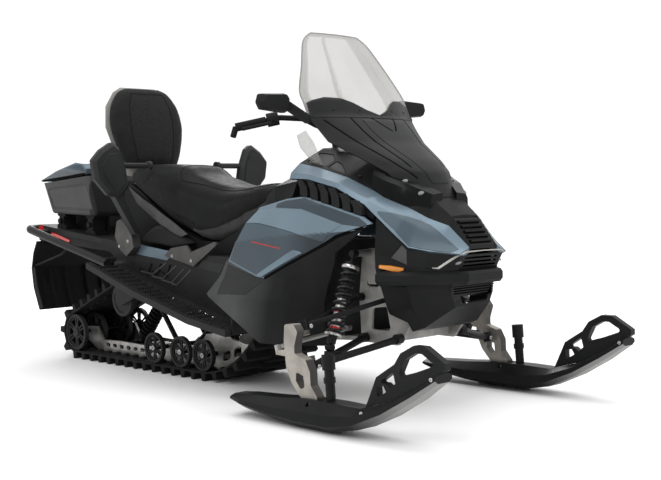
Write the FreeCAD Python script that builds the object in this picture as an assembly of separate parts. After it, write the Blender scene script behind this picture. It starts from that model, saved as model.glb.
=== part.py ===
"""Two-up touring snowmobile with a long track, a tall windshield, a trunk and a passenger backrest.

+X is forward, +Y is left and +Z is up, in millimetres. The floor is at Z = 0, and the origin
lies on it midway along the length and on the middle plane.
"""
import FreeCAD, Part
import math
import os

os.makedirs("parts", exist_ok=True)

Vec = FreeCAD.Vector

# Overall reach of the machine, each way from the origin
FRONT_REACH = 1530.0
REAR_REACH = 1530.0
REAR_OVERHANG = 90.0

# Gaps between pieces that sit together
SEAT_GAP = 0.3
PANEL_GAP = 4.0
PIN_GAP = 0.05

# Track and what runs in it
TRACK_WIDTH = 406.0
BELT_THICKNESS = 8.0
LUG_HEIGHT = 32.0
LUG_COUNT = 48
LUG_TIP = 9.0
LUG_FOOT = 16.0
MIDDLE_BAND = 68.0
TOOTH_HEIGHT = 12.0
TOOTH_SPAN = (134.0, 158.0)
REAR_IDLER_X = -1156.0
REAR_IDLER_RADIUS = 90.0
UPPER_IDLER_X = -742.0
UPPER_IDLER_Z = 318.0
UPPER_IDLER_RADIUS = 80.0
DRIVE_X = 265.0
DRIVE_Z = 388.0
DRIVE_RADIUS = 88.0
APPROACH_X = -150.0
APPROACH_RADIUS = 450.0
RIDE_WHEEL_XS = (-498.5, -299.6, -137.2)
RIDE_WHEEL_RADIUS = 70.5
WHEEL_WIDTH = 20.0
WHEEL_EDGE_GAP = 7.0
AXLE_RADIUS = 10.0
SPOKES = 6
RAIL_SPACING = 220.0
DROP_PLATE = 9.0
REAR_ARM_X = -646.0
REAR_ARM_Z = 352.0
RAIL_THICKNESS = 12.0

# Tunnel and running boards
TUNNEL_CLEARANCE = 13.0
TUNNEL_WALL = 4.0
TUNNEL_FRONT_X = 418.0
TUNNEL_REAR_X = REAR_OVERHANG - REAR_REACH
TUNNEL_TOP_FRONT = 548.0
TUNNEL_TOP_REAR = 664.0
BOARD_OUTER = 420.0
BOARD_THICKNESS = 5.0
BOARD_LIP = 15.0
BOARD_BARS = 22

# Skis and steering
SKI_STANCE = 1077.0
SKI_WIDTH = 140.0
SKI_PIVOT_X = 945.0
SKI_PIVOT_Z = 89.0
SKI_BOLT_RADIUS = 8.0
RUNNER_RADIUS = 5.0
KINGPIN_Y = 497.0
LOWER_JOINT_X = 876.0
LOWER_JOINT_Z = 205.0
UPPER_JOINT_X = 838.0
UPPER_JOINT_Z = 345.0
ARM_TUBE_RADIUS = 13.0
LOWER_ARM_FEET = ((1000.0, 278.0), (824.0, 268.0))
UPPER_ARM_FEET = ((965.0, 425.0), (806.0, 420.0))
JOINT_HALF = 19.0
JOINT_RADIUS = 17.0
LUG_LENGTH = 16.0
SPINDLE_HALF = 18.0
SHOCK_X = 860.0
SHOCK_FOOT_Y = 392.0
SHOCK_FOOT_Z = 258.0
SHOCK_TOP_Y = 262.0
SHOCK_TOP_Z = 588.0
SHOCK_EYE = 13.0
STEER_ARM_X = 748.0
TIE_ROD_RADIUS = 8.0
TIE_ROD_INNER = (756.0, 190.0, 300.0)
BULKHEAD_HALF = 165.0
BULKHEAD_WALL = 12.0
BAR_HALF_WIDTH = 365.0
BAR_RADIUS = 11.1
GRIP_RADIUS = 17.0
STEM_RADIUS = 14.0
STEM_RAKE = 10.0
STEM_X = 500.0
STEM_Z = 1045.0

# Body
PANEL_THICKNESS = 12.0
HOOD_THICKNESS = 14.0
HOOD_LIP = 6.0
BLADE_EDGE = 2
RECESS_DEPTH = 3.0
SHEET_THICKNESS = 5.0
ENGINE_LENGTH = 300.0
ENGINE_WIDTH = 390.0
ENGINE_HEIGHT = 360.0
ENGINE_X = 440.0
ENGINE_Z = 270.0

# Trunk
TRUNK_HALF = 215.0
TRUNK_WALL = 8.0
TRUNK_ROUND = 16.0
TRUNK_REAR_X = TUNNEL_REAR_X + 42.0
TRUNK_FRONT_X = -905.0
LID_WALL = 8.0
LID_HINGE_X = -990.0
LID_HINGE_Z = 927.0
LID_GAP = 6.0
HINGE_Y = 121.0
HINGE_EAR = 8.0

# Rear bumper with its hitch
BUMPER_RADIUS = 19.0
BUMPER_BAR_HALF = 194.0
HITCH_HALF = 26.0
HITCH_THICKNESS = 10.0
HITCH_BORE = 8.0
HITCH_SETBACK = 42.0

# Height of the console under the handlebar
CONSOLE_TOP = 900.0

SKI_Y = SKI_STANCE / 2
FLOOR_TO_BELT = LUG_HEIGHT + BELT_THICKNESS
TRACK_HALF = TRACK_WIDTH / 2
TUNNEL_INNER = TRACK_HALF + TUNNEL_CLEARANCE
TUNNEL_OUTER = TUNNEL_INNER + TUNNEL_WALL


def mirrored(shape):
    """The shape's twin on the other side of the middle plane."""
    return shape.mirror(Vec(0, 0, 0), Vec(0, 1, 0))


def pair(shape):
    """The shape and its twin as one compound."""
    return Part.makeCompound([shape, mirrored(shape)])


def corner_points(before, corner, after, radius):
    """Start, middle and end of the arc that turns a corner, no longer than its sides allow."""
    back = before - corner
    ahead = after - corner
    half = back.getAngle(ahead) / 2
    reach = min(radius / math.tan(half), 0.45 * back.Length, 0.45 * ahead.Length)
    back_unit = Vec(back).normalize()
    ahead_unit = Vec(ahead).normalize()
    bend = reach * math.tan(half)
    inward = Vec(back_unit + ahead_unit).normalize()
    middle = corner + inward * (bend / math.sin(half) - bend)
    return corner + back_unit * reach, middle, corner + ahead_unit * reach


def closed_wire(points, radius=0.0):
    """Closed wire through the points, each corner turned by an arc where a radius is given."""
    corners = [Vec(*p) for p in points]
    if radius <= 0:
        return Part.makePolygon(corners + [corners[0]])
    count = len(corners)
    arcs = [corner_points(corners[i - 1], corners[i], corners[(i + 1) % count], radius)
            for i in range(count)]
    edges = []
    for i, (start, middle, end) in enumerate(arcs):
        edges.append(Part.Arc(start, middle, end).toShape())
        edges.append(Part.LineSegment(end, arcs[(i + 1) % count][0]).toShape())
    return Part.Wire(edges)


def open_wire(points, bend):
    """Open path of straight runs joined by arcs."""
    corners = [Vec(*p) for p in points]
    edges = []
    start = corners[0]
    for i in range(1, len(corners) - 1):
        first, middle, last = corner_points(corners[i - 1], corners[i], corners[i + 1], bend)
        edges.append(Part.LineSegment(start, first).toShape())
        edges.append(Part.Arc(first, middle, last).toShape())
        start = last
    edges.append(Part.LineSegment(start, corners[-1]).toShape())
    return Part.Wire(edges)


def tube(points, radius, bend=40.0):
    """Round bar along a bent path."""
    path = open_wire(points, bend)
    start = Vec(*points[0])
    heading = Vec(*points[1]) - start
    ring = Part.Wire(Part.makeCircle(radius, start, heading))
    return path.makePipeShell([ring], True, False)


def rod(start, end, radius):
    """Straight round bar between two points."""
    first = Vec(*start)
    along = Vec(*end) - first
    return Part.makeCylinder(radius, along.Length, first, along)


def across(x, z, y0, y1, radius):
    """Round bar across the machine."""
    return rod((x, y0, z), (x, y1, z), radius)


def box(x0, x1, y0, y1, z0, z1):
    return Part.makeBox(x1 - x0, y1 - y0, z1 - z0, Vec(x0, y0, z0))


def side_prism(outline, y0, y1, radius=0.0):
    """Side view outline of (x, z) points, carried from y0 to y1."""
    wire = closed_wire([(x, y0, z) for x, z in outline], radius)
    return Part.Face(wire).extrude(Vec(0, y1 - y0, 0))


def plan_prism(outline, z0, z1, radius=0.0):
    """Plan view outline of (x, y) points, carried from z0 to z1."""
    wire = closed_wire([(x, y, z0) for x, y in outline], radius)
    return Part.Face(wire).extrude(Vec(0, 0, z1 - z0))


def front_prism(outline, x0, x1, radius=0.0):
    """Front view outline of (y, z) points, carried from x0 to x1."""
    wire = closed_wire([(x0, y, z) for y, z in outline], radius)
    return Part.Face(wire).extrude(Vec(x1 - x0, 0, 0))


def loft(wires, ruled=False):
    return Part.makeLoft(wires, True, ruled)


def fused(shapes):
    joined = shapes[0].fuse(shapes[1:])
    return joined.removeSplitter()


def shrunk(points, share):
    """The outline drawn in towards its middle."""
    mid_u = sum(u for u, v in points) / len(points)
    mid_v = sum(v for u, v in points) / len(points)
    return [(mid_u + share * (u - mid_u), mid_v + share * (v - mid_v)) for u, v in points]


def bevelled_plate(outline, xs, share, radius):
    """Front view outline as a plate whose first and last faces are drawn in."""
    shares = (share, 1.0, 1.0, share)
    wires = [closed_wire([(x, y, z) for y, z in shrunk(outline, k)], radius) for x, k in zip(xs, shares)]
    return loft(wires, True)


def biggest(shape):
    """Largest solid of a shape."""
    return max(shape.Solids, key=lambda solid: solid.Volume)


def save(name, shape):
    shape.exportStep("parts/" + name + ".step")


def line_at(points, x):
    """Height of a polyline of (x, z) points at x."""
    for (x0, z0), (x1, z1) in zip(points, points[1:]):
        if min(x0, x1) <= x <= max(x0, x1):
            return z0 + (z1 - z0) * (x - x0) / (x1 - x0)
    return points[0][1] if x < points[0][0] else points[-1][1]


# The belt's loop: circles that it wraps, in the order that it passes them
def loop_circles():
    return [
        (REAR_IDLER_X, FLOOR_TO_BELT + REAR_IDLER_RADIUS, REAR_IDLER_RADIUS),
        (APPROACH_X, FLOOR_TO_BELT + APPROACH_RADIUS, APPROACH_RADIUS),
        (DRIVE_X, DRIVE_Z, DRIVE_RADIUS),
        (UPPER_IDLER_X, UPPER_IDLER_Z, UPPER_IDLER_RADIUS),
    ]


def loop_pieces():
    """Runs and arcs of the belt's inner face: (kind, length, data) in order round the loop."""
    circles = loop_circles()
    count = len(circles)
    headings = []
    for i in range(count):
        x0, z0, r0 = circles[i]
        x1, z1, r1 = circles[(i + 1) % count]
        span = math.hypot(x1 - x0, z1 - z0)
        headings.append(math.atan2(z1 - z0, x1 - x0) + math.asin((r0 - r1) / span))
    pieces = []
    for i in range(count):
        x0, z0, r0 = circles[i]
        x1, z1, r1 = circles[(i + 1) % count]
        heading = headings[i]
        turn_next = (headings[(i + 1) % count] - heading) % (2 * math.pi)
        start = (x0 + r0 * math.sin(heading), z0 - r0 * math.cos(heading))
        end = (x1 + r1 * math.sin(heading), z1 - r1 * math.cos(heading))
        length = math.hypot(end[0] - start[0], end[1] - start[1])
        pieces.append(("run", length, (start, heading)))
        pieces.append(("arc", r1 * turn_next, ((x1, z1), r1, heading)))
    return pieces


def loop_point(pieces, distance, offset):
    """Point at a distance along the belt's inner face, moved outwards by the offset."""
    total = sum(piece[1] for piece in pieces)
    left = distance % total
    for kind, length, data in pieces:
        if left <= length:
            break
        left -= length
    if kind == "run":
        (x, z), heading = data
        x += left * math.cos(heading)
        z += left * math.sin(heading)
    else:
        (cx, cz), radius, heading = data
        heading += left / radius
        x = cx + radius * math.sin(heading)
        z = cz - radius * math.cos(heading)
    return x + offset * math.sin(heading), z - offset * math.cos(heading)


def loop_wire(offset, y):
    """Smooth closed wire round the loop, outside the belt's inner face by the offset."""
    pieces = loop_pieces()
    marks = [0.0]
    for kind, length, data in pieces:
        marks.append(marks[-1] + length)
    joints = [loop_point(pieces, mark, offset) for mark in marks[:-1]]
    joints.append(joints[0])
    edges = []
    for i, (kind, length, data) in enumerate(pieces):
        first, last = [Vec(x, y, z) for x, z in joints[i:i + 2]]
        if kind == "run":
            edges.append(Part.LineSegment(first, last).toShape())
        else:
            x, z = loop_point(pieces, marks[i] + length / 2, offset)
            edges.append(Part.Arc(first, Vec(x, y, z), last).toShape())
    return Part.Wire(edges)


def lug_band(pieces, shift, y0, y1):
    """One band of the belt with its row of lugs, moved along the loop by a share of the pitch."""
    pitch = sum(piece[1] for piece in pieces) / LUG_COUNT
    marks = ((-LUG_FOOT, BELT_THICKNESS), (-LUG_TIP, FLOOR_TO_BELT), (LUG_TIP, FLOOR_TO_BELT),
             (LUG_FOOT, BELT_THICKNESS))
    outline = []
    for lug in range(LUG_COUNT):
        middle = (lug + shift) * pitch
        outline += [loop_point(pieces, middle + along, out) for along, out in marks]
    return side_prism(outline, y0, y1)


def drive_teeth(pieces):
    """Two rows of moulded teeth on the belt's inner face."""
    pitch = sum(piece[1] for piece in pieces) / LUG_COUNT
    marks = ((-13, 2.0), (-8, -TOOTH_HEIGHT), (8, -TOOTH_HEIGHT), (13, 2.0))
    teeth = []
    for lug in range(LUG_COUNT):
        outline = [loop_point(pieces, lug * pitch + along, out) for along, out in marks]
        for side in (-1, 1):
            teeth.append(side_prism(outline, side * TOOTH_SPAN[0], side * TOOTH_SPAN[1]))
    return teeth


def make_track():
    """Rubber belt as one fixed loop: three bands of staggered lugs outside, two rows of teeth inside."""
    pieces = loop_pieces()
    outer = fused([lug_band(pieces, 0.0, -TRACK_HALF, -MIDDLE_BAND),
                   lug_band(pieces, 0.5, -MIDDLE_BAND, MIDDLE_BAND),
                   lug_band(pieces, 0.0, MIDDLE_BAND, TRACK_HALF)])
    inner = Part.Face(loop_wire(0.0, -TRACK_HALF - 1)).extrude(Vec(0, TRACK_WIDTH + 2, 0))
    belt = outer.cut(inner)
    return belt.fuse(drive_teeth(pieces))


def wheel(x, z, radius, y_face, side):
    """Wheel with twin spokes, its outer face at y_face on the given side of the middle."""
    y0 = side * y_face
    y1 = side * (y_face - WHEEL_WIDTH)
    rim = across(x, z, y0, y1, radius).cut(across(x, z, y0, y1, 0.84 * radius))
    web0 = side * (y_face - 0.3 * WHEEL_WIDTH)
    web1 = side * (y_face - 0.7 * WHEEL_WIDTH)
    web = across(x, z, web0, web1, 0.85 * radius)
    hub = across(x, z, y0, y1, 0.24 * radius)
    windows = []
    for spoke in range(SPOKES):
        wide = ((0.36, -0.24), (0.78, -0.33), (0.78, 0.33), (0.36, 0.24))
        slim = ((0.42, -0.10), (0.78, -0.07), (0.78, 0.07), (0.42, 0.10))
        for marks, turned in ((wide, 0.0), (slim, 0.5)):
            middle = 2 * math.pi * (spoke + turned) / SPOKES
            outline = [(x + radius * share * math.cos(middle + turn),
                        z + radius * share * math.sin(middle + turn)) for share, turn in marks]
            windows.append(side_prism(outline, min(web0, web1) - 1, max(web0, web1) + 1))
    return fused([rim, web.cut(windows), hub])


def axle_set(x, z, radius, y_faces, half_length):
    """A cross axle with wheels on both sides."""
    shapes = [across(x, z, -half_length, half_length, AXLE_RADIUS)]
    for y_face in y_faces:
        for side in (-1, 1):
            shapes.append(wheel(x, z, radius, y_face, side))
    return fused(shapes)


def wheel_radius_at_belt(radius):
    return radius - SEAT_GAP


def make_idler_wheels():
    """Rear, upper and ride wheels on their cross axles, running on the belt's inner face."""
    outer_face = TRACK_HALF - WHEEL_EDGE_GAP
    sets = [axle_set(REAR_IDLER_X, FLOOR_TO_BELT + REAR_IDLER_RADIUS, wheel_radius_at_belt(REAR_IDLER_RADIUS),
                     (outer_face, RAIL_SPACING / 2 - 26), outer_face)]
    for x in RIDE_WHEEL_XS:
        sets.append(axle_set(x, FLOOR_TO_BELT + RIDE_WHEEL_RADIUS, wheel_radius_at_belt(RIDE_WHEEL_RADIUS),
                             (outer_face,), outer_face))
    sets.append(upper_idler())
    return Part.makeCompound(sets)


def upper_idler():
    """Pair of plain disc wheels that carry the belt's upper run, hung from the tunnel by two plates."""
    x, z, radius = UPPER_IDLER_X, UPPER_IDLER_Z, wheel_radius_at_belt(UPPER_IDLER_RADIUS)
    face = TRACK_HALF - WHEEL_EDGE_GAP
    plate = TUNNEL_INNER - DROP_PLATE
    shapes = [across(x, z, -plate, plate, AXLE_RADIUS)]
    for side in (-1, 1):
        disc = across(x, z, side * face, side * (face - WHEEL_WIDTH), radius)
        groove = across(x, z, side * face, side * (face - 4), 0.8 * radius).cut(
            across(x, z, side * face, side * (face - 4), 0.3 * radius))
        shapes.append(disc.cut(groove))
        head = line_at(tunnel_top_line(), x) - 40
        outline = [(x - 24, z - 24), (x + 20, z - 26), (REAR_ARM_X + 22, REAR_ARM_Z - 24),
                   (REAR_ARM_X + 24, REAR_ARM_Z + 30), (x + 70, head), (x - 30, head)]
        shapes.append(side_prism(outline, side * plate, side * (TUNNEL_INNER - SEAT_GAP), 12))
    return fused(shapes)


def rail_outline():
    """Side view of a slide rail: flat sole, curved up at the front, with its axle carriers."""
    sole = FLOOR_TO_BELT + SEAT_GAP
    radius = APPROACH_RADIUS - SEAT_GAP
    centre_z = FLOOR_TO_BELT + APPROACH_RADIUS
    nose = math.radians(37)
    steps = 8
    points = [(REAR_IDLER_X - 38, sole + 62), (REAR_IDLER_X + 60, sole + 8), (REAR_IDLER_X + 90, sole)]
    for step in range(steps + 1):
        turn = nose * step / steps
        points.append((APPROACH_X + radius * math.sin(turn), centre_z - radius * math.cos(turn)))
    tip_x, tip_z = points[-1]
    points += [(tip_x - 18, tip_z + 34), (tip_x - 75, tip_z + 34), (APPROACH_X + 95, sole + 148),
               (APPROACH_X + 5, sole + 158), (APPROACH_X - 60, sole + 150), (APPROACH_X - 105, sole + 88),
               (APPROACH_X - 400, sole + 88), (APPROACH_X - 440, sole + 56), (REAR_IDLER_X + 270, sole + 60),
               (REAR_IDLER_X + 120, sole + 54), (REAR_IDLER_X + 75, sole + 116),
               (REAR_IDLER_X - 30, sole + 112)]
    return points


def make_slide_rails():
    """Two aluminium rails with lightening holes and a bore for each axle."""
    half = RAIL_THICKNESS / 2
    y = RAIL_SPACING / 2
    sole = FLOOR_TO_BELT
    rail = side_prism(rail_outline(), y - half, y + half)
    cuts = []
    for x, z in [(REAR_IDLER_X, FLOOR_TO_BELT + REAR_IDLER_RADIUS)] + \
                [(x, FLOOR_TO_BELT + RIDE_WHEEL_RADIUS) for x in RIDE_WHEEL_XS]:
        cuts.append(across(x, z, y - half - 1, y + half + 1, AXLE_RADIUS + SEAT_GAP))
    slot_x = REAR_IDLER_X + 150
    while slot_x < RIDE_WHEEL_XS[0] - 90:
        outline = [(slot_x, sole + 24), (slot_x + 34, sole + 24), (slot_x + 34, sole + 42),
                   (slot_x, sole + 42)]
        cuts.append(side_prism(outline, y - half - 1, y + half + 1, 8))
        slot_x += 58
    for x0, x1, z0, z1 in ((APPROACH_X + 55, APPROACH_X + 110, sole + 40, sole + 75),
                           (APPROACH_X + 130, APPROACH_X + 185, sole + 62, sole + 100)):
        cuts.append(side_prism([(x0, z0), (x1, z0 + 16), (x1 - 4, z1 + 20), (x0 + 4, z1)],
                               y - half - 1, y + half + 1, 10))
    return pair(rail.cut(cuts))


def tunnel_top_line():
    return [(TUNNEL_REAR_X, TUNNEL_TOP_REAR), (-300.0, TUNNEL_TOP_FRONT), (TUNNEL_FRONT_X, TUNNEL_TOP_FRONT)]


def board_line():
    """Side view of the running board: (x, z) from its rear end to the toe."""
    return [(-690.0, 492.0), (-345.0, 388.0), (54.0, 295.0), (300.0, 262.0)]


def make_tunnel():
    """Folded sheet over the track: a sloped top, two sides and louvred slots in each side."""
    top = tunnel_top_line()
    board = board_line()
    lower = [(TUNNEL_FRONT_X, board[-1][1]), board[-1], board[-2], board[-3], board[-4],
             (-800.0, 545.0), (TUNNEL_REAR_X, 585.0)]
    side = side_prism(top + lower, TUNNEL_INNER, TUNNEL_OUTER)
    slots = []
    for start in (-560.0, -490.0, -420.0):
        outline = [(start, 470.0), (start + 75, 440.0), (start + 110, 500.0), (start + 92, 500.0),
                   (start + 70, 455.0), (start + 12, 478.0)]
        slots.append(side_prism(outline, TUNNEL_INNER - 1, TUNNEL_OUTER + 1))
    side = side.cut(slots)
    roof = top + [(x, z - TUNNEL_WALL) for x, z in reversed(top)]
    cover = side_prism(roof, -TUNNEL_OUTER, TUNNEL_OUTER)
    return fused([side, mirrored(side), cover])


def make_running_board(side):
    """Open grip board from the tunnel's side to a rolled outer edge."""
    line = board_line()
    start = TUNNEL_OUTER
    inner_edge = BOARD_OUTER - 26

    def strip(y0, y1, drop, depth):
        outline = [(x, z - drop) for x, z in line] + [(x, z - drop - depth) for x, z in reversed(line)]
        return side_prism(outline, side * y0, side * y1)

    shapes = [strip(start, start + 40, 0, BOARD_THICKNESS),
              strip(inner_edge, BOARD_OUTER, -BOARD_LIP, BOARD_LIP + 12)]
    first, last = line[0][0] + 12, line[-1][0] - 20
    for bar in range(BOARD_BARS):
        x = first + (last - first) * bar / (BOARD_BARS - 1)
        z = line_at(line, x)
        shapes.append(box(x - 9, x + 9, min(side * (start + 39), side * (inner_edge + 1)),
                          max(side * (start + 39), side * (inner_edge + 1)), z - 14, z - 2))
    shapes.append(front_prism([(side * start, 256), (side * 380.0, 256), (side * 385.0, 400),
                               (side * start, 400)], 292, 299))
    return fused(shapes)


def make_drive_axle():
    """Cross shaft with the sprockets that drive the belt."""
    shaft = across(DRIVE_X, DRIVE_Z, -TUNNEL_INNER + SEAT_GAP, TUNNEL_INNER - SEAT_GAP, 13)
    shapes = [shaft]
    for y in (-95.0, 95.0):
        shapes.append(across(DRIVE_X, DRIVE_Z, y - 25, y + 25, DRIVE_RADIUS - SEAT_GAP))
    return fused(shapes)


def make_suspension_arms():
    """Front and rear swing arms between the tunnel and the rails, each welded from tubes."""
    rail_inner = RAIL_SPACING / 2 - RAIL_THICKNESS / 2 - SEAT_GAP
    wall = TUNNEL_INNER - SEAT_GAP
    plate = TUNNEL_INNER - DROP_PLATE - SEAT_GAP
    front = [across(-60, 347, -wall, wall, 13), across(-385, 100, -rail_inner, rail_inner, 11)]
    rear = [across(REAR_ARM_X, REAR_ARM_Z, -plate, plate, 13), across(-428, 98, -rail_inner, rail_inner, 11)]
    for side in (-1, 1):
        front.append(rod((-60, side * 62, 347), (-385, side * 62, 100), 12))
        rear.append(rod((REAR_ARM_X, side * 86, REAR_ARM_Z), (-428, side * 86, 98), 12))
    return Part.makeCompound([fused(front), fused(rear)])


def coil_over(lower, upper, body_radius, coil_radius, turns):
    """Damper with its spring drawn as a stack of rings between two seats."""
    first, last = Vec(*lower), Vec(*upper)
    axis = last - first
    unit = Vec(axis).normalize()
    length = axis.Length

    def stage(a, b, radius):
        return Part.makeCylinder(radius, (b - a) * length, first + unit * (a * length), unit)

    shapes = [stage(0.0, 1.0, 0.35 * body_radius), stage(0.04, 0.5, body_radius),
              stage(0.14, 0.19, coil_radius), stage(0.84, 0.9, coil_radius)]
    for turn in range(turns):
        share = 0.23 + 0.56 * turn / (turns - 1)
        shapes.append(stage(share, share + 0.022, coil_radius - 2))
    shapes.append(stage(0.5, 0.88, 0.62 * body_radius))
    return fused(shapes)


def make_rear_shocks():
    """Damper of each swing arm, between the rails."""
    cross = RAIL_SPACING / 2 - RAIL_THICKNESS / 2 - SEAT_GAP
    front = coil_over((-225, 0, 118), (-98, 0, 314), 17, 30, 7)
    rear = coil_over((-860, 0, 96), (-668, 0, 318), 21, 36, 8)
    return Part.makeCompound([fused([front, across(-225, 112, -cross, cross, 9)]),
                              fused([rear, across(-866, 88, -cross, cross, 9)])])


def make_engine():
    """Engine and its fluids as one plain block between the side panels."""
    return box(ENGINE_X, ENGINE_X + ENGINE_LENGTH, -ENGINE_WIDTH / 2, ENGINE_WIDTH / 2,
               ENGINE_Z, ENGINE_Z + ENGINE_HEIGHT)


def shock_tower(side):
    """Cast bracket on the bulkhead that holds the damper's upper eye."""
    y0 = side * (BULKHEAD_HALF - 2)
    outline = [(845, 470), (890, 470), (896, 560), (882, 604), (850, 604), (836, 560)]
    plate = side_prism(outline, y0, side * (BULKHEAD_HALF + 10), 8)
    arm = across(SHOCK_X, SHOCK_TOP_Z, y0, side * (SHOCK_TOP_Y - 14), 12)
    return fused([plate, arm])


def engine_cradle():
    """Trough floor that joins the tunnel's front end to the bulkhead and carries the engine."""
    top = ENGINE_Z - SEAT_GAP
    wide = TUNNEL_INNER - SEAT_GAP
    rear = TUNNEL_FRONT_X - 22
    half = [(rear, wide), (700, wide), (805, BULKHEAD_HALF - 4)]
    floor = plan_prism([(x, -y) for x, y in half] + [(x, y) for x, y in reversed(half)], top - 16, top)
    flanges = []
    for side in (-1, 1):
        y0, y1 = sorted((side * (wide - 8), side * wide))
        flanges.append(box(rear, TUNNEL_FRONT_X + 30, y0, y1, top - 16, 400))
    return [floor] + flanges


def make_bulkhead():
    """Two cast side plates and cross members that carry the front arms, with the engine cradle."""
    y1 = BULKHEAD_HALF
    y0 = y1 - BULKHEAD_WALL
    outline = [(800, 250), (985, 250), (1045, 330), (1010, 440), (960, 460), (930, 585), (810, 600),
               (790, 420)]
    plate = side_prism(outline, y0, y1, 14)
    holes = [side_prism([(850, 300), (950, 300), (930, 390), (855, 380)], y0 - 1, y1 + 1, 12),
             side_prism([(832, 460), (895, 460), (880, 560), (835, 565)], y0 - 1, y1 + 1, 12)]
    plate = plate.cut(holes)
    members = [box(800, 830, -y0, y0, 255, 285), box(935, 965, -y0, y0, 262, 300),
               box(800, 850, -y0, y0, 555, 585), box(930, 960, -y0, y0, 410, 436)]
    towers = [shock_tower(-1), shock_tower(1)]
    return fused([plate, mirrored(plate)] + members + towers + engine_cradle())


def arm_inner():
    return BULKHEAD_HALF + SEAT_GAP


def kingpin():
    """Unit vector up the steering axis of an upright."""
    return Vec(UPPER_JOINT_X - LOWER_JOINT_X, 0, UPPER_JOINT_Z - LOWER_JOINT_Z).normalize()


def kingpin_stage(x, z, side, low, high, radius):
    """Round piece on the steering axis, between two distances from a joint's centre."""
    centre = Vec(x, side * KINGPIN_Y, z)
    axis = kingpin()
    return Part.makeCylinder(radius, high - low, centre + axis * low, axis)


def wishbone(side, inner_points, joint_x, joint_z, radius, boss):
    """Arm of two tubes from the bulkhead to a round joint housing."""
    y_in = side * (arm_inner() + 8)
    housing = kingpin_stage(joint_x, joint_z, side, -JOINT_HALF, JOINT_HALF, JOINT_RADIUS)
    shapes = [housing]
    for x, z in inner_points:
        shapes.append(rod((x, y_in, z), (joint_x, side * (KINGPIN_Y - 8), joint_z), radius))
        shapes.append(across(x, z, side * arm_inner(), side * (arm_inner() + 30), boss))
    return shapes


def make_arms(side):
    """Lower and upper arms, the lower one with the damper's seat."""
    lower = wishbone(side, LOWER_ARM_FEET, LOWER_JOINT_X, LOWER_JOINT_Z, ARM_TUBE_RADIUS, 18)
    upper = wishbone(side, UPPER_ARM_FEET, UPPER_JOINT_X, UPPER_JOINT_Z, 0.72 * ARM_TUBE_RADIUS, 15)
    seat = SHOCK_FOOT_Z - SHOCK_EYE - SEAT_GAP
    y0, y1 = sorted((side * (SHOCK_FOOT_Y - 14), side * (SHOCK_FOOT_Y + 14)))
    lower.append(box(SHOCK_X - 16, SHOCK_X + 46, y0, y1, seat - 22, seat))
    return Part.makeCompound([fused(lower), fused(upper)])


def make_front_shock(side):
    """Coil-over damper from the lower arm to the tower beside the hood."""
    foot = (SHOCK_X, side * SHOCK_FOOT_Y, SHOCK_FOOT_Z)
    head = (SHOCK_X, side * SHOCK_TOP_Y, SHOCK_TOP_Z)
    damper = coil_over(foot, head, 17, 24, 9)
    lower_eye = rod((SHOCK_X - 14, foot[1], foot[2]), (SHOCK_X + 14, foot[1], foot[2]), SHOCK_EYE)
    upper_eye = across(SHOCK_X, SHOCK_TOP_Z, side * (SHOCK_TOP_Y - 14 + SEAT_GAP),
                       side * (SHOCK_TOP_Y + 14), SHOCK_EYE)
    return fused([damper, lower_eye, upper_eye])


def steer_eye(side):
    """Centre of the eye at the rear end of an upright's steering arm."""
    return Vec(STEER_ARM_X, side * SKI_Y, LOWER_JOINT_Z + 42)


def make_spindle(side):
    """Cast upright over the ski's middle, with lugs on the steering axis and a fork on the ski's bolt."""
    y0 = side * (SKI_Y - SPINDLE_HALF)
    y1 = side * (SKI_Y + SPINDLE_HALF)
    outline = [(800, 352), (846, 356), (866, 330), (850, 280), (850, 252), (905, 236), (928, 196),
               (930, 150), (962, 112), (962, 72), (932, 72), (872, 108), (832, 150), (806, 205), (796, 290)]
    shapes = [side_prism(outline, y0, y1, 10)]
    window = side_prism([(858, 190), (896, 178), (900, 140), (880, 130), (856, 158)],
                        min(y0, y1) - 1, max(y0, y1) + 1, 8)
    shapes[0] = shapes[0].cut(window)
    near = JOINT_HALF + SEAT_GAP
    far = near + LUG_LENGTH
    for x, z, low, high in ((LOWER_JOINT_X, LOWER_JOINT_Z, near, far),
                            (UPPER_JOINT_X, UPPER_JOINT_Z, -far, -near)):
        lug = kingpin_stage(x, z, side, low, high, JOINT_RADIUS)
        middle = Vec(x, side * KINGPIN_Y, z) + kingpin() * ((low + high) / 2)
        web = rod(tuple(middle), (middle.x, y0 + side * 4, middle.z), 0.5 * LUG_LENGTH - 0.5)
        shapes += [lug, web]
    eye = steer_eye(side)
    reach = side_prism([(eye.x, eye.z - 8), (815, 236), (815, 262), (eye.x, eye.z + 8)], side * (SKI_Y - 9),
                       side * (SKI_Y + 9))
    pin = Part.makeCylinder(11, 16, eye - kingpin() * 8, kingpin())
    bolt = across(SKI_PIVOT_X, SKI_PIVOT_Z, side * (SKI_Y - 36), side * (SKI_Y + 36), SKI_BOLT_RADIUS)
    return fused(shapes + [reach, pin, bolt])


def make_tie_rod(side):
    """Steering link from the steering arm's eye to the rack behind the bulkhead."""
    axis = kingpin()
    eye = steer_eye(side) + axis * (8 + SEAT_GAP)
    ring = Part.makeCylinder(11, 18, eye, axis)
    x, y, z = TIE_ROD_INNER
    centre = eye + axis * 9
    link = rod(tuple(centre), (x, side * y, z), TIE_ROD_RADIUS)
    end = rod((x - 1, side * (y + 14), z), (x, side * (y - 8), z), TIE_ROD_RADIUS + 3)
    return fused([ring, link, end])


def ski_section(x, sole, chine, edge, ridge, half, side):
    """One cross-section of the ski: a flat sole, flared chines, low edges and a raised middle."""
    y = side * SKI_Y
    points = [(-0.62 * half, sole), (0.62 * half, sole), (half, chine), (0.97 * half, edge),
              (0.5 * half, ridge), (-0.5 * half, ridge), (-0.97 * half, edge), (-half, chine)]
    return closed_wire([(x, y + dy, z) for dy, z in points])


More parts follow.
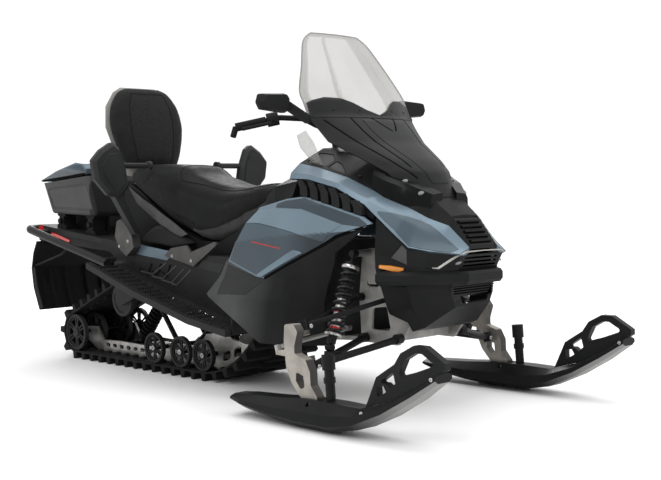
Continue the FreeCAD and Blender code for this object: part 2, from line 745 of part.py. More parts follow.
SKI_STATIONS = [(530, 52, 62, 70, 78, 0.72), (600, 36, 52, 68, 84, 0.94), (760, 18, 38, 62, 92, 1.0),
                (900, 2 * RUNNER_RADIUS, 30, 66, 104, 1.0), (1060, 2 * RUNNER_RADIUS, 30, 68, 106, 1.0),
                (1180, 34, 54, 82, 104, 0.98), (1300, 88, 104, 124, 138, 0.92),
                (1420, 158, 172, 188, 200, 0.82), (1512, 222, 232, 244, 252, 0.6)]


def ski_ridge():
    """Height of the ski's raised middle along its length."""
    return [(station[0], station[4]) for station in SKI_STATIONS]


def make_ski(side):
    """Moulded ski with a turned-up front, a saddle for the upright and a keel bar under it."""
    half = SKI_WIDTH / 2
    sections = [ski_section(x, sole, chine, edge, ridge, half * share, side)
                for x, sole, chine, edge, ridge, share in SKI_STATIONS]
    body = loft(sections, True)
    gap = SPINDLE_HALF + 3
    y0, y1 = sorted((side * (SKI_Y - gap), side * (SKI_Y + gap)))
    slot = box(SKI_PIVOT_X - 84, SKI_PIVOT_X + 36, y0, y1, 62, 160)
    bore = across(SKI_PIVOT_X, SKI_PIVOT_Z, side * (SKI_Y - 80), side * (SKI_Y + 80),
                  SKI_BOLT_RADIUS + SEAT_GAP)
    return body.cut([slot, bore])


def make_ski_runner(side):
    """Steel wear bar under the keel."""
    y = side * SKI_Y
    return rod((800, y, RUNNER_RADIUS), (1060, y, RUNNER_RADIUS), RUNNER_RADIUS)


def make_ski_loop(side):
    """Grab handle over the ski's tip: an open loop with two windows in its rear strut."""
    y = side * SKI_Y
    top = [(x, z + SEAT_GAP) for x, z in ski_ridge()]
    outer = [(x, line_at(top, x)) for x in (1188, 1300, 1420, 1511)]
    outer += [(FRONT_REACH, 264), (FRONT_REACH, 284), (1448, 330), (1402, 330), (1345, 300), (1318, 262),
              (1238, 212)]
    loop = side_prism(outer, y - 14, y + 14)
    windows = [side_prism([(1332, 222), (1412, 246), (1492, 276), (1436, 306), (1408, 306), (1362, 280)],
                          y - 15, y + 15, 8),
               side_prism([(1242, 146), (1282, 168), (1268, 188), (1240, 180)], y - 15, y + 15, 4),
               side_prism([(1250, 196), (1280, 196), (1302, 182), (1322, 200), (1312, 236)],
                          y - 15, y + 15, 4)]
    return loop.cut(windows)


def make_ski_knob(side):
    """Adjuster post ahead of the upright, with a knurled cap."""
    y = side * SKI_Y
    foot = line_at(ski_ridge(), 1012) + SEAT_GAP
    return fused([rod((1012, y, foot), (1012, y, foot + 20), 17),
                  rod((1012, y, foot + 12), (1004, y, 215), 17),
                  rod((1004, y, 210), (1000, y, 262), 23), rod((1008, y, 165), (1006, y, 185), 21)])


def bar_points():
    """Handlebar's path from the right grip's end to its middle."""
    z = STEM_Z
    return [(STEM_X - 172, -BAR_HALF_WIDTH, z + 26), (STEM_X - 62, -BAR_HALF_WIDTH + 130, z + 62),
            (STEM_X - 18, -BAR_HALF_WIDTH + 215, z + 58), (STEM_X, -90, z + 30), (STEM_X, 90, z + 30)]


def make_handlebar():
    """Bent steel bar with its riser clamp and the turning stem."""
    right = bar_points()
    left = [(x, -y, z) for x, y, z in reversed(right[:-1])]
    bar = tube(right[:-1] + left, BAR_RADIUS, 45)
    clamp = box(STEM_X - 26, STEM_X + 26, -32, 32, STEM_Z + 6, STEM_Z + 50)
    stem = rod(stem_point(-134), stem_point(12), STEM_RADIUS)
    return fused([bar, clamp, stem])


def stem_point(along):
    """Point on the steering column's axis, measured along it from the bar's clamp."""
    rake = math.radians(STEM_RAKE)
    return (STEM_X - along * math.sin(rake), 0, STEM_Z + along * math.cos(rake))


def make_grips():
    """Rubber grip over each end of the bar."""
    end = Vec(*bar_points()[0])
    inner = Vec(*bar_points()[1])
    along = Vec(inner - end).normalize()
    sleeve = Part.makeCylinder(GRIP_RADIUS, 122, end - along * 4, along)
    core = Part.makeCylinder(BAR_RADIUS + PIN_GAP, 141, end - along, along)
    hook = rod(tuple(end - along * 3), tuple(end - along * 16 + Vec(10, -6, -34)), 12)
    return pair(fused([sleeve, hook]).cut(core))


def make_bar_controls():
    """Switch housings, brake and throttle levers inboard of the grips."""
    end = Vec(*bar_points()[0])
    inner = Vec(*bar_points()[1])
    along = Vec(inner - end).normalize()
    core = Part.makeCylinder(BAR_RADIUS + PIN_GAP, 200, end, along)
    housing = Part.makeCylinder(27, 46, end + along * 122, along)
    ahead = Vec(21, -14, -13)
    lever_start = end + along * 140 + ahead
    lever_end = end + along * 20 + ahead
    lever = rod(tuple(lever_start), tuple(lever_end), 7)
    knuckle = rod(tuple(end + along * 140), tuple(lever_start), 11)
    return pair(fused([housing, knuckle, lever]).cut(core))


def make_column_bracket():
    """Bearing block that holds the steering stem above the console."""
    low, high = Vec(*stem_point(-135)), Vec(*stem_point(-80))
    axis = high - low
    block = Part.makeCylinder(STEM_RADIUS + 14, axis.Length, low, axis)
    bore = Part.makeCylinder(STEM_RADIUS + PIN_GAP, axis.Length + 40, low - Vec(axis).normalize() * 20, axis)
    foot = box(low.x - 60, low.x + 34, -34, 34, CONSOLE_TOP + SEAT_GAP, low.z + 18)
    floor = box(low.x - 80, low.x + 80, -60, 60, CONSOLE_TOP - 60, CONSOLE_TOP + SEAT_GAP)
    return fused([block, foot]).cut(bore).cut(floor)


def side_sections():
    """Cross-sections of the side body: six (y, z) points from the toe up to the top edge."""
    return [
        (150, [(398, 235), (402, 400), (360, 480), (352, 600), (318, 720), (288, 800)]),
        (300, [(392, 235), (398, 400), (362, 480), (356, 620), (322, 740), (290, 810)]),
        (450, [(386, 235), (390, 400), (360, 480), (354, 640), (318, 762), (290, 815)]),
        (590, [(372, 235), (376, 400), (352, 500), (350, 655), (313, 768), (288, 815)]),
        (700, [(290, 235), (300, 400), (322, 530), (345, 662), (309, 765), (284, 805)]),
        (830, [(196, 235), (206, 400), (262, 560), (338, 668), (304, 745), (278, 785)]),
        (1000, [(188, 235), (198, 400), (250, 570), (322, 682), (298, 712), (270, 745)]),
    ]


def side_shell(side, thickness):
    """Curved wall of the side body, as thick as its panels."""
    wires = []
    for x, points in side_sections():
        outer = [(x, side * y, z) for y, z in points]
        inner = [(x, side * (y - thickness), z) for y, z in reversed(points)]
        wires.append(closed_wire(outer + inner))
    return loft(wires, True)


def blue_outline():
    return [(254, 544), (300, 625), (404, 757), (545, 790), (638, 799), (940, 725), (992, 700), (972, 688),
            (833, 652), (691, 588), (470, 486), (425, 490)]


def lower_outline():
    return [(157, 412), (238, 540), (254, 556), (425, 500), (470, 500), (691, 600), (833, 660), (968, 695),
            (992, 699), (900, 646), (800, 592), (745, 470), (722, 400), (720, 238), (464, 238), (256, 356)]


def make_side_panel(side):
    """Painted upper side panel."""
    y0, y1 = (side * 150, side * 450)
    return side_shell(side, PANEL_THICKNESS).common(side_prism(blue_outline(), y0, y1))


def make_lower_panel(side):
    """Dark lower side panel that flares into the toe and tapers in behind the front arms."""
    y0, y1 = (side * 150, side * 450)
    panel = side_shell(side, PANEL_THICKNESS).common(side_prism(lower_outline(), y0, y1))
    upper = side_prism(blue_outline(), y0, y1)
    return panel.cut([upper, upper.translated(Vec(0, 0, -SEAT_GAP))])


def hood_sections():
    """Cross-sections of the hood: (y, z) points from its lower edge up to the middle."""
    return [
        (560, [(300, 868), (292, 890), (246, 926), (120, 985), (0, 992)]),
        (655, [(297, 864), (288, 882), (239, 908), (118, 965), (0, 972)]),
        (800, [(290, 830), (279, 846), (228, 868), (112, 930), (0, 938)]),
        (935, [(282, 768), (262, 784), (190, 802), (100, 872), (0, 880)]),
        (1060, [(259, 660), (214, 714), (152, 744), (88, 806), (0, 812)]),
        (1106, [(242, 617), (192, 682), (128, 716), (81, 769), (0, 775)]),
        (1173, [(206, 603), (156, 638), (98, 690), (71, 716), (0, 720)]),
        (1250, [(134, 592), (108, 602), (80, 615), (70, 620), (0, 622)]),
    ]


def hood_solid():
    """Outer form of the hood with both halves."""
    wires = []
    for x, points in hood_sections():
        outer = [(x, y, z) for y, z in points] + [(x, -y, z) for y, z in reversed(points[:-1])]
        low = points[0][1] - HOOD_LIP
        outer += [(x, -points[0][0] + 6, low), (x, points[0][0] - 6, low)]
        wires.append(closed_wire(outer))
    return loft(wires, True)


def hood_shell():
    """Whole hood as a curved wall."""
    wires = []
    for x, points in hood_sections():
        inset = HOOD_THICKNESS
        low = points[0][1] - HOOD_LIP - 20
        slim = [(max(y - inset, 0.0), z - inset) for y, z in points]
        inner = [(x, y, z) for y, z in slim] + [(x, -y, z) for y, z in reversed(slim[:-1])]
        inner += [(x, -slim[0][0] + 4, low), (x, slim[0][0] - 4, low)]
        wires.append(closed_wire(inner))
    return hood_solid().cut(loft(wires, True))


def cowl_plan():
    """Plan view of the dark middle of the hood, out to the edge of the painted blades."""
    edge = [(x, points[BLADE_EDGE][0]) for x, points in hood_sections()]
    return [(x, -y) for x, y in edge] + [(x, y) for x, y in reversed(edge)]


def make_hood_cowl(shell):
    """Dark middle of the hood, with its grille opening and a sunk panel on each side."""
    cowl = shell.common(plan_prism(cowl_plan(), 500, 1100))
    above = hood_solid().translated(Vec(0, 0, -RECESS_DEPTH))
    recesses = [plan_prism([(x, side * y) for x, y in outline], 700, 1100, 6).cut(above)
                for outline in cowl_recess_outlines() for side in (-1, 1)]
    return cowl.cut(recesses + [grille_opening(0.0)])


def cowl_recess_outlines():
    """Plan views of the sunk fields beside the display: a long one and a short one ahead of it."""
    return [[(578, 226), (578, 150), (640, 140), (676, 168), (676, 222)],
            [(686, 221), (686, 170), (722, 176), (778, 212), (770, 217)]]


def make_hood_blade(shell, side):
    """Painted blade along each side of the hood."""
    edge = [(x, side * (points[BLADE_EDGE][0] + 0.6)) for x, points in hood_sections()]
    far = [(edge[-1][0] + 5, side * 420), (edge[0][0] - 5, side * 420)]
    return shell.common(plan_prism(edge + far, 500, 1100))


def vent_limits():
    """Lower and upper edges of the louvre field, between the side panel and the blade."""
    low = [(x, z + PANEL_GAP) for x, z in ((600, 806), (638, 799), (940, 725), (990, 702))]
    high = [(x, points[0][1] - 2) for x, points in hood_sections()]
    return low, high


def make_vents(side):
    """Stack of six curved louvres between the blade and the side panel, on a backing plate."""
    low, high = vent_limits()
    first, last, count = 612, 950, 6
    plate = [(600, line_at(low, 600)), (last + 20, line_at(low, last + 20)),
             (last + 20, line_at(high, last + 20)), (800, line_at(high, 800)), (600, line_at(high, 600))]
    shapes = [side_prism(plate, side * 262, side * 272)]
    step = (last - first) / count
    for louvre in range(count):
        x = first + step * louvre
        base, top = line_at(low, x + 0.5 * step), line_at(high, x)
        middle = 0.5 * (base + top)
        outline = [(x + 0.1 * step, base), (x + 0.8 * step, base - 4), (x + 0.75 * step, middle),
                   (x + 0.3 * step, top - 3), (x - 0.25 * step, top - 1), (x + 0.05 * step, middle)]
        shapes.append(side_prism(outline, side * 271, side * 300))
    below = side_prism(blue_outline(), side * 200, side * 350)
    above = hood_solid()
    return fused(shapes).cut([below, below.translated(Vec(0, 0, SEAT_GAP)), above,
                              above.translated(Vec(0, 0, -SEAT_GAP))])


def nose_sections():
    """Plan sections of the nose: height, front corner, side corner and rear corner as (x, y)."""
    return [
        (474, (1205, 118), (1095, 245), (985, 262)),
        (540, (1228, 110), (1145, 205), (985, 282)),
        (596, (1248, 124), (1165, 205), (985, 284)),
        (745, (1150, 104), (1072, 238), (985, 272)),
    ]


def nose_wire(z, corners, inset=0.0):
    half = [(x - inset, y - inset) for x, y in corners]
    half[-1] = (corners[-1][0], corners[-1][1] - inset)
    return closed_wire([(x, -y, z) for x, y in half] + [(x, y, z) for x, y in reversed(half)])


def nose_solid(grow):
    """Outer form of the nose, grown by a gap."""
    return loft([nose_wire(z, corners, -grow) for z, *corners in nose_sections()], True)


def make_nose():
    """Nose shell under the hood, open behind."""
    shifts = (-1, 0, 0, 1)
    inner = loft([nose_wire(z + shift, corners, PANEL_THICKNESS + 2)
                  for shift, (z, *corners) in zip(shifts, nose_sections())], True)
    shell = nose_solid(0.0).cut(inner)
    hood_line = [(x, points[0][1] - HOOD_LIP - SEAT_GAP) for x, points in hood_sections() if x > 900]
    hood_line += [(1300, hood_line[-1][1]), (1300, 900), (hood_line[0][0], 900)]
    shell = shell.cut(side_prism(hood_line, -400, 400))
    rear = box(980, 1000, -258, 258, 400, 800)
    slots = [box(1150, 1300, -92, 92, z, z + 7) for z in (543, 557, 571)]
    return shell.cut([rear] + slots)


def belly_sections():
    top = nose_sections()[0][0] - SEAT_GAP
    return [
        (846, (196, 236), (206, 400), (206, top)),
        (985, (175, 285), (240, 380), (262, top)),
        (1100, (150, 322), (215, 400), (240, top)),
        (1200, (95, 400), (118, 440), (120, top)),
    ]


def make_belly_pan():
    """Lower front cover: a keeled trough from the bulkhead forward, slatted at its front."""
    outer, inner = [], []
    for x, low, middle, high in belly_sections():
        half = [low, middle, high]
        outer.append(closed_wire([(x, y, z) for y, z in half] + [(x, -y, z) for y, z in reversed(half)]))
        slim = [(y - 10, z + (10 if i == 0 else 0)) for i, (y, z) in enumerate(half)]
        slim[-1] = (slim[-1][0], slim[-1][1] + 4)
        inner.append(closed_wire([(x, y, z) for y, z in slim] + [(x, -y, z) for y, z in reversed(slim)]))
    trough = loft(outer, True).cut(loft(inner, True))
    top = belly_sections()[0][-1][1]
    keep = side_prism([(1052, 200), (1052, 342), (1004, 372), (990, top), (1300, top), (1300, 200)],
                      -400, 400)
    slots = [box(1150, 1300, -80, 80, z, z + 6) for z in (426, 439, 452)]
    return trough.common(keep).cut(slots)


def make_front_bumper():
    """Heavy moulded bar round the nose, with bevelled edges."""
    wires = []
    for z, inset in ((482, 12), (495, 0), (519, 0), (530, 10)):
        outer = [(1262 - inset, 98), (1248 - inset, 112 - 0.5 * inset), (1100 - inset, 278 - inset),
                 (1000, 300 - inset)]
        half = outer + [(1000, 240), (1100, 200), (1200, 100)]
        wires.append(closed_wire([(x, -y, z) for x, y in half] + [(x, y, z) for x, y in reversed(half)]))
    return loft(wires, True).cut(nose_solid(SEAT_GAP))


def grille_opening(gap):
    """Side view of the opening down the middle of the nose."""
    half = 70 - gap
    return side_prism([(1166 + gap, 500), (1166 + gap, 900), (1400, 900), (1400, 500)], -half, half)


def make_nose_grille():
    """Slatted panel down the middle of the nose, on a slanted back plate."""
    slope = [(1173, 716), (1250, 620)]
    back = side_prism([(1167, 706), (1173, 714), (1249, 619), (1249, 606), (1236, 608)], -69.7, 69.7)
    bars = []
    for step in range(5):
        z = 632 + 17 * step
        x = slope[1][0] - (z - slope[1][1]) * (slope[1][0] - slope[0][0]) / (slope[0][1] - slope[1][1])
        bars.append(box(x - 8, x + 7, -62, 62, z, z + 7))
    return fused([back] + bars)


def headlight_sections():
    """Cross-sections of a lamp pod: x, its inner and outer edge, and its top there."""
    return [(896, 176, 196, 900), (950, 132, 192, 876), (1025, 86, 162, 846), (1098, 40, 104, 806)]


def make_headlight(side):
    """Lamp pod that stands on the hood in front of the fairing's lower edge."""
    wires = []
    for x, inner, outer, top in headlight_sections():
        points = [(inner, top - 160), (outer + 6, top - 160), (outer, top - 22), (outer - 10, top - 6),
                  (inner, top)]
        wires.append(closed_wire([(x, side * y, z) for y, z in points]))
    pod = loft(wires, True)
    behind = fairing_solid()
    pod = pod.cut([hood_solid().translated(Vec(0, 0, SEAT_GAP)), behind.translated(Vec(SEAT_GAP, 0, 0)),
                   behind.translated(Vec(0, side * SEAT_GAP, 0))])
    return biggest(pod)


def arc_wire(z, half, middle_x, sag, thickness):
    """Crescent in plan: an outer and an inner arc with the given half width and sag."""
    corner_x = middle_x - sag
    outer = Part.Arc(Vec(corner_x, -half, z), Vec(middle_x, 0, z), Vec(corner_x, half, z)).toShape()
    inner = Part.Arc(Vec(corner_x - thickness, half - 2, z), Vec(middle_x - thickness, 0, z),
                     Vec(corner_x - thickness, -half + 2, z)).toShape()
    ends = [Part.LineSegment(Vec(corner_x, half, z), Vec(corner_x - thickness, half - 2, z)).toShape(),
            Part.LineSegment(Vec(corner_x - thickness, -half + 2, z), Vec(corner_x, -half, z)).toShape()]
    return Part.Wire([outer, ends[0], inner, ends[1]])


def make_windshield():
    """Tall clear sheet, bowed in plan and leaning back."""
    sections = [(1104 + SEAT_GAP, 288, 752, 98), (1200, 286, 688, 80), (1300, 236, 619, 52),
                (1400, 180, 550, 30), (1438, 130, 523, 16)]
    return loft([arc_wire(z, half, x, sag, SHEET_THICKNESS) for z, half, x, sag in sections], True)


def fairing_sections():
    """Heights of the fairing with its half width, its front point and how far its ends sweep back."""
    return [(790, 120, 1090, 60), (884, 172, 1034, 88), (925, 205, 985, 105), (1000, 262, 872, 128),
            (1104, 289, 756, 99)]


def fairing_solid():
    """Space in front of which the lamp pods stand: the fairing filled back to the middle of the hood."""
    wires = []
    for z, half, middle_x, sag in fairing_sections():
        corner_x = middle_x - sag
        front = Part.Arc(Vec(corner_x, -half, z), Vec(middle_x, 0, z), Vec(corner_x, half, z)).toShape()
        back = [Vec(corner_x, half, z), Vec(corner_x - 200, half, z), Vec(corner_x - 200, -half, z),
                Vec(corner_x, -half, z)]
        sides = [Part.LineSegment(start, end).toShape() for start, end in zip(back, back[1:])]
        wires.append(Part.Wire([front] + sides))
    return loft(wires, True)


def make_fairing():
    """Dark moulded base of the windshield, widest at the top, that comes down on the hood."""
    fairing = loft([arc_wire(z, half, x, sag, 12) for z, half, x, sag in fairing_sections()], True)
    return fairing.cut(hood_solid().translated(Vec(0, 0, SEAT_GAP)))


def make_console():
    """Dark cover between the seat and the hood, round the steering column."""
    stations = [(206 + SEAT_GAP, [(60, 640), (110, 700), (96, 770), (50, 800)]),
                (330, [(150, 620), (240, 700), (215, 800), (80, 852)]),
                (430, [(190, 640), (268, 750), (258, 838), (100, CONSOLE_TOP)]),
                (550, [(190, 700), (278, 800), (250, 858), (100, CONSOLE_TOP)])]
    wires = []
    for x, half in stations:
        wires.append(closed_wire([(x, y, z) for y, z in half] + [(x, -y, z) for y, z in reversed(half)]))
    return loft(wires, True)


def make_gauge():
    """Display housing behind the windshield, on a post from the hood."""
    top = [(x, points[-1][1] + SEAT_GAP) for x, points in hood_sections()]
    outline = [(602, 1004), (640, 1004), (612, 1092), (590, 1092)]
    post = [(606, line_at(top, 606)), (640, line_at(top, 640)), (640, 1010), (606, 1010)]
    return fused([side_prism(outline, -92, 92, 5), side_prism(post, -30, 30)])


def make_mirror(side):
    """Rear view mirror on its arm from the fairing's corner."""
    head = [(side * 316, 1124), (side * 332, 1114), (side * 448, 1124), (side * 463, 1150),
            (side * 452, 1182), (side * 330, 1188), (side * 316, 1170)]
    shell = bevelled_plate(head, (550, 556, 574, 596), 0.84, 10)
    reach = 289 + SEAT_GAP
    arm = loft([closed_wire([(x, side * y, z) for x, y, z in points]) for points in (
        [(640, reach, 1072), (664, reach, 1072), (664, reach, 1104), (640, reach, 1104)],
        [(562, 326, 1130), (590, 326, 1130), (590, 326, 1160), (562, 326, 1160)])], True)
    return fused([shell, arm])


def make_seat():
    """Two-level seat: raised passenger part behind the driver's scooped part."""
    stations = [(-715, 150, 862, 925, 25), (-640, 178, 830, 940, 60), (-500, 186, 745, 938, 55),
                (-370, 182, 668, 930, 50), (-290, 176, 640, 892, 45), (-180, 170, 604, 860, 45),
                (-60, 160, 604, 834, 45), (60, 146, 650, 832, 45), (150, 118, 705, 842, 40),
                (206, 92, 752, 838, 30)]
    wires = []
    for x, half, low, high, shoulder in stations:
        points = [(half - 14, low), (half, low + 30), (half - 6, high - shoulder),
                  (half - shoulder, high - 6), (0, high)]
        wires.append(closed_wire([(x, y, z) for y, z in points]
                                 + [(x, -y, z) for y, z in reversed(points[:-1])]))
    return loft(wires, True)


def seat_under_line():
    return [(-715, 862), (-640, 830), (-500, 745), (-370, 668), (-290, 640), (-180, 604), (-60, 604),
            (60, 650), (150, 705), (206, 752)]


def make_seat_base():
    """Dark base between the tunnel and the seat's underside."""
    gap = SEAT_GAP
    rear = -765
    top = [(x, z - gap) for x, z in seat_under_line() if x < 200]
    bottom = [(150, TUNNEL_TOP_FRONT + gap), (-300, TUNNEL_TOP_FRONT + gap),
              (rear, line_at(tunnel_top_line(), rear) + gap)]
    return side_prism(top + [(196, 740), (196, 600)] + bottom + [(rear, 850)], -150, 150)


def make_side_cushion(side):
    """Padded side piece above the tunnel, beside the passenger's calf."""
    outline = [(-575, 600), (-440, 682), (-196, 598), (-300, 572)]
    return side_prism(outline, side * (150 + SEAT_GAP), side * 212, 12)


def make_backrest():
    """Tall passenger cushion, narrower at the top and leaning back."""
    stations = [(948, -762, 150, 44), (1000, -770, 172, 50), (1130, -792, 206, 52), (1230, -812, 190, 50),
                (1295, -826, 140, 44), (1324, -832, 92, 30)]
    wires = []
    for z, x, half, thick in stations:
        wires.append(closed_wire([(x + thick, -half + 34, z), (x + thick + 6, 0, z),
                                  (x + thick, half - 34, z), (x + 10, half, z), (x - 26, half - 6, z),
                                  (x - 26, -half + 6, z), (x + 10, -half, z)]))
    return loft(wires, True)


def make_backrest_shell():
    """Moulded shell behind the cushion, down to its post on the tunnel."""
    stations = [(900, -782, 120, 20), (948, -789, 158, 26), (1130, -819, 214, 30), (1230, -839, 198, 30),
                (1300, -853, 146, 24), (1326, -859, 100, 14)]
    wires = []
    for z, x, half, thick in stations:
        wires.append(closed_wire([(x - SEAT_GAP, -half, z), (x - SEAT_GAP, half, z),
                                  (x - thick, half - 24, z), (x - thick, -half + 24, z)]))
    foot = [(x, line_at(tunnel_top_line(), x) + SEAT_GAP) for x in (-862, -800)]
    post = side_prism(foot + [(-785, 905), (-805, 905)], -60, 60)
    return fused([loft(wires, True), post])


def make_guard(side):
    """Passenger hand guard: a shield on an upright, with a grip bar towards the seat."""
    shield = [(side * 365, 796), (side * 427, 812), (side * 490, 880), (side * 503, 964),
              (side * 460, 1010), (side * 400, 1046), (side * 366, 1022), (side * 330, 930),
              (side * 315, 848)]
    plate = bevelled_plate(shield, (-524, -510, -488, -472), 0.86, 16)
    foot = 630 + SEAT_GAP
    stalk = loft([closed_wire(points) for points in (
        [(-560, side * 236, foot), (-520, side * 236, foot), (-520, side * 262, foot),
         (-560, side * 262, foot)],
        [(-520, side * 350, 815), (-484, side * 350, 815), (-484, side * 400, 815),
         (-520, side * 400, 815)])], True)
    grip = across(-499, 942, side * 196, side * 380, 13)
    knuckle = across(-499, 942, side * 188, side * 206, 20)
    return fused([plate, stalk, grip, knuckle])


def make_guard_bracket(side):
    """Cast foot of the hand guard, bolted to the tunnel's side."""
    y0 = side * (TUNNEL_OUTER + SEAT_GAP)
    outline = [(-690, 620), (-650, 560), (-600, 530), (-540, 572), (-560, 638), (-640, 700), (-672, 690)]
    body = side_prism(outline, y0, side * 262, 8)
    return body.cut(box(-562, -518, min(side * 230, side * 270), max(side * 230, side * 270), 630, 720))


def make_side_bracket(side):
    """Cast plate that joins the seat base to the tunnel ahead of the passenger's foot."""
    y0 = side * (TUNNEL_OUTER + SEAT_GAP)
    outline = [(-352, 538), (-300, 574), (-190, 590), (-160, 560), (10, 610), (20, 596), (-140, 500),
               (-200, 512)]
    return side_prism(outline, y0, side * (TUNNEL_OUTER + 12), 5)


def trunk_outline():
    return [(TRUNK_REAR_X, 874), (TRUNK_REAR_X + 80, 722), (TRUNK_FRONT_X, 708), (LID_HINGE_X + 8, 905)]


def trunk_prism(inset, rise):
    """Trunk's form, set in by a wall and carried up past its rim by the rise, its side edges rounded."""
    (x0, z0), (x1, z1), (x2, z2), (x3, z3) = trunk_outline()

    def wall(xa, za, xb, zb, z, inward):
        lean = (xb - xa) / (zb - za)
        return xa + lean * (z - za) + inward * inset * math.hypot(1.0, lean), z

    outline = [wall(x1, z1, x0, z0, z0 + rise, 1), wall(x1, z1, x0, z0, z1 + inset, 1),
               wall(x2, z2, x3, z3, z2 + inset, -1), wall(x2, z2, x3, z3, z3 + rise, -1)]
    half = TRUNK_HALF - inset
    block = side_prism(outline, -half, half, 20 - inset)
    top = max(z0, z3)
    edges = [edge for edge in block.Edges
             if all(abs(abs(vertex.Y) - half) < 0.01 for vertex in edge.Vertexes)
             and min(vertex.Z for vertex in edge.Vertexes) < top
             and abs(edge.Vertexes[0].Y - edge.Vertexes[-1].Y) < 1]
    return block.makeFillet(TRUNK_ROUND - inset, edges)


def make_trunk():
    """Hollow box with a slanted back and front and a sunk field on each side."""
    outer = trunk_prism(0.0, 50.0)
    rim = [(-1600, 874), (TRUNK_REAR_X, 874), (LID_HINGE_X + 8, 905), (-700, 905), (-700, 1100),
           (-1600, 1100)]
    inner = trunk_prism(TRUNK_WALL, 50.0)
    field = [(TRUNK_REAR_X + 42, 846), (TRUNK_REAR_X + 98, 746), (TRUNK_FRONT_X - 34, 734),
             (TRUNK_FRONT_X - 84, 868)]
    sunk = [side_prism(field, side * (TRUNK_HALF - RECESS_DEPTH), side * (TRUNK_HALF + 5), 14)
            for side in (-1, 1)]
    return outer.cut([inner] + sunk).cut(side_prism(rim, -400, 400))


def make_trunk_lid():
    """Domed lid with a hollow underside, hinged along its front edge."""
    low = LID_GAP
    rear = TRUNK_REAR_X
    outline = [(rear - 6, 874 + low), (rear - 14, 884 + low), (rear + 128, 934), (-1090, 972), (-1030, 966),
               (LID_HINGE_X - 2, 940), (LID_HINGE_X - 2, 905 + low)]
    outer = side_prism(outline, -TRUNK_HALF - 4, TRUNK_HALF + 4, 5)
    upper = [edge for edge in outer.Edges
             if abs(edge.Vertexes[0].Y - edge.Vertexes[-1].Y) < 1
             and min(vertex.Z for vertex in edge.Vertexes) > 889]
    outer = outer.makeFillet(9, upper)
    hollow = [(rear + 22, 876), (rear + 22, 892), (rear + 134, 926), (-1092, 962), (-1040, 957), (-1022, 945),
              (-1022, 900)]
    inner = side_prism(hollow, -TRUNK_HALF + LID_WALL, TRUNK_HALF - LID_WALL)
    knuckle = across(LID_HINGE_X, LID_HINGE_Z, -HINGE_Y + SEAT_GAP, HINGE_Y - SEAT_GAP, 8)
    notches = []
    for side in (-1, 1):
        y0, y1 = sorted((side * (HINGE_Y - 3), side * (HINGE_Y + HINGE_EAR + 3)))
        notches.append(box(LID_HINGE_X - 22, LID_HINGE_X + 40, y0, y1, 850, 990))
    return fused([outer.cut([inner] + notches), knuckle])


def make_trunk_hinge():
    """Two ears on the trunk's front wall that hold the lid's pin."""
    wall = [(z, x + SEAT_GAP) for x, z in trunk_outline()[2:]]
    ears = []
    for side in (-1, 1):
        outline = [(line_at(wall, 855), 855), (LID_HINGE_X + 30, 860), (LID_HINGE_X + 14, LID_HINGE_Z + 12),
                   (LID_HINGE_X - 12, LID_HINGE_Z + 12), (LID_HINGE_X - 12, LID_HINGE_Z - 10),
                   (line_at(wall, 902), 906)]
        ears.append(side_prism(outline, side * HINGE_Y, side * (HINGE_Y + HINGE_EAR)))
    return Part.makeCompound(ears)


def make_trunk_feet():
    """Waisted clamp feet with latch knobs, which hold the trunk on the tunnel."""
    span = TRUNK_FRONT_X - TRUNK_REAR_X
    feet = []
    for share in (0.26, 0.79):
        x = TRUNK_REAR_X + share * span

        def low(along):
            return line_at(tunnel_top_line(), x + along) + SEAT_GAP

        def high(along):
            return line_at(trunk_outline()[1:3], x + along) - SEAT_GAP

        outline = [(x - 42, low(-42)), (x + 42, low(42)), (x + 42, low(42) + 12), (x + 22, low(22) + 22),
                   (x + 20, high(20) - 16), (x + 36, high(36) - 9), (x + 36, high(36)), (x - 36, high(-36)),
                   (x - 36, high(-36) - 9), (x - 20, high(-20) - 16), (x - 22, low(-22) + 22),
                   (x - 42, low(-42) + 12)]
        for side in (-1, 1):
            middle = 0.5 * (low(0) + high(0))
            block = side_prism(outline, side * 120, side * 190)
            knob = across(x, middle, side * 186, side * 204, 13)
            feet.append(fused([block, knob]))
    return Part.makeCompound(feet)


def bumper_side():
    """Right run of the rear bumper's path: (x, y, z) from its front end to its rear corner."""
    rear = -REAR_REACH + BUMPER_RADIUS
    corner = TUNNEL_REAR_X + 40
    return [(-700, -300, 497), (corner - 0.43 * (corner + 700), -298, 578), (corner, -292, 640),
            (rear, -230, 642)]


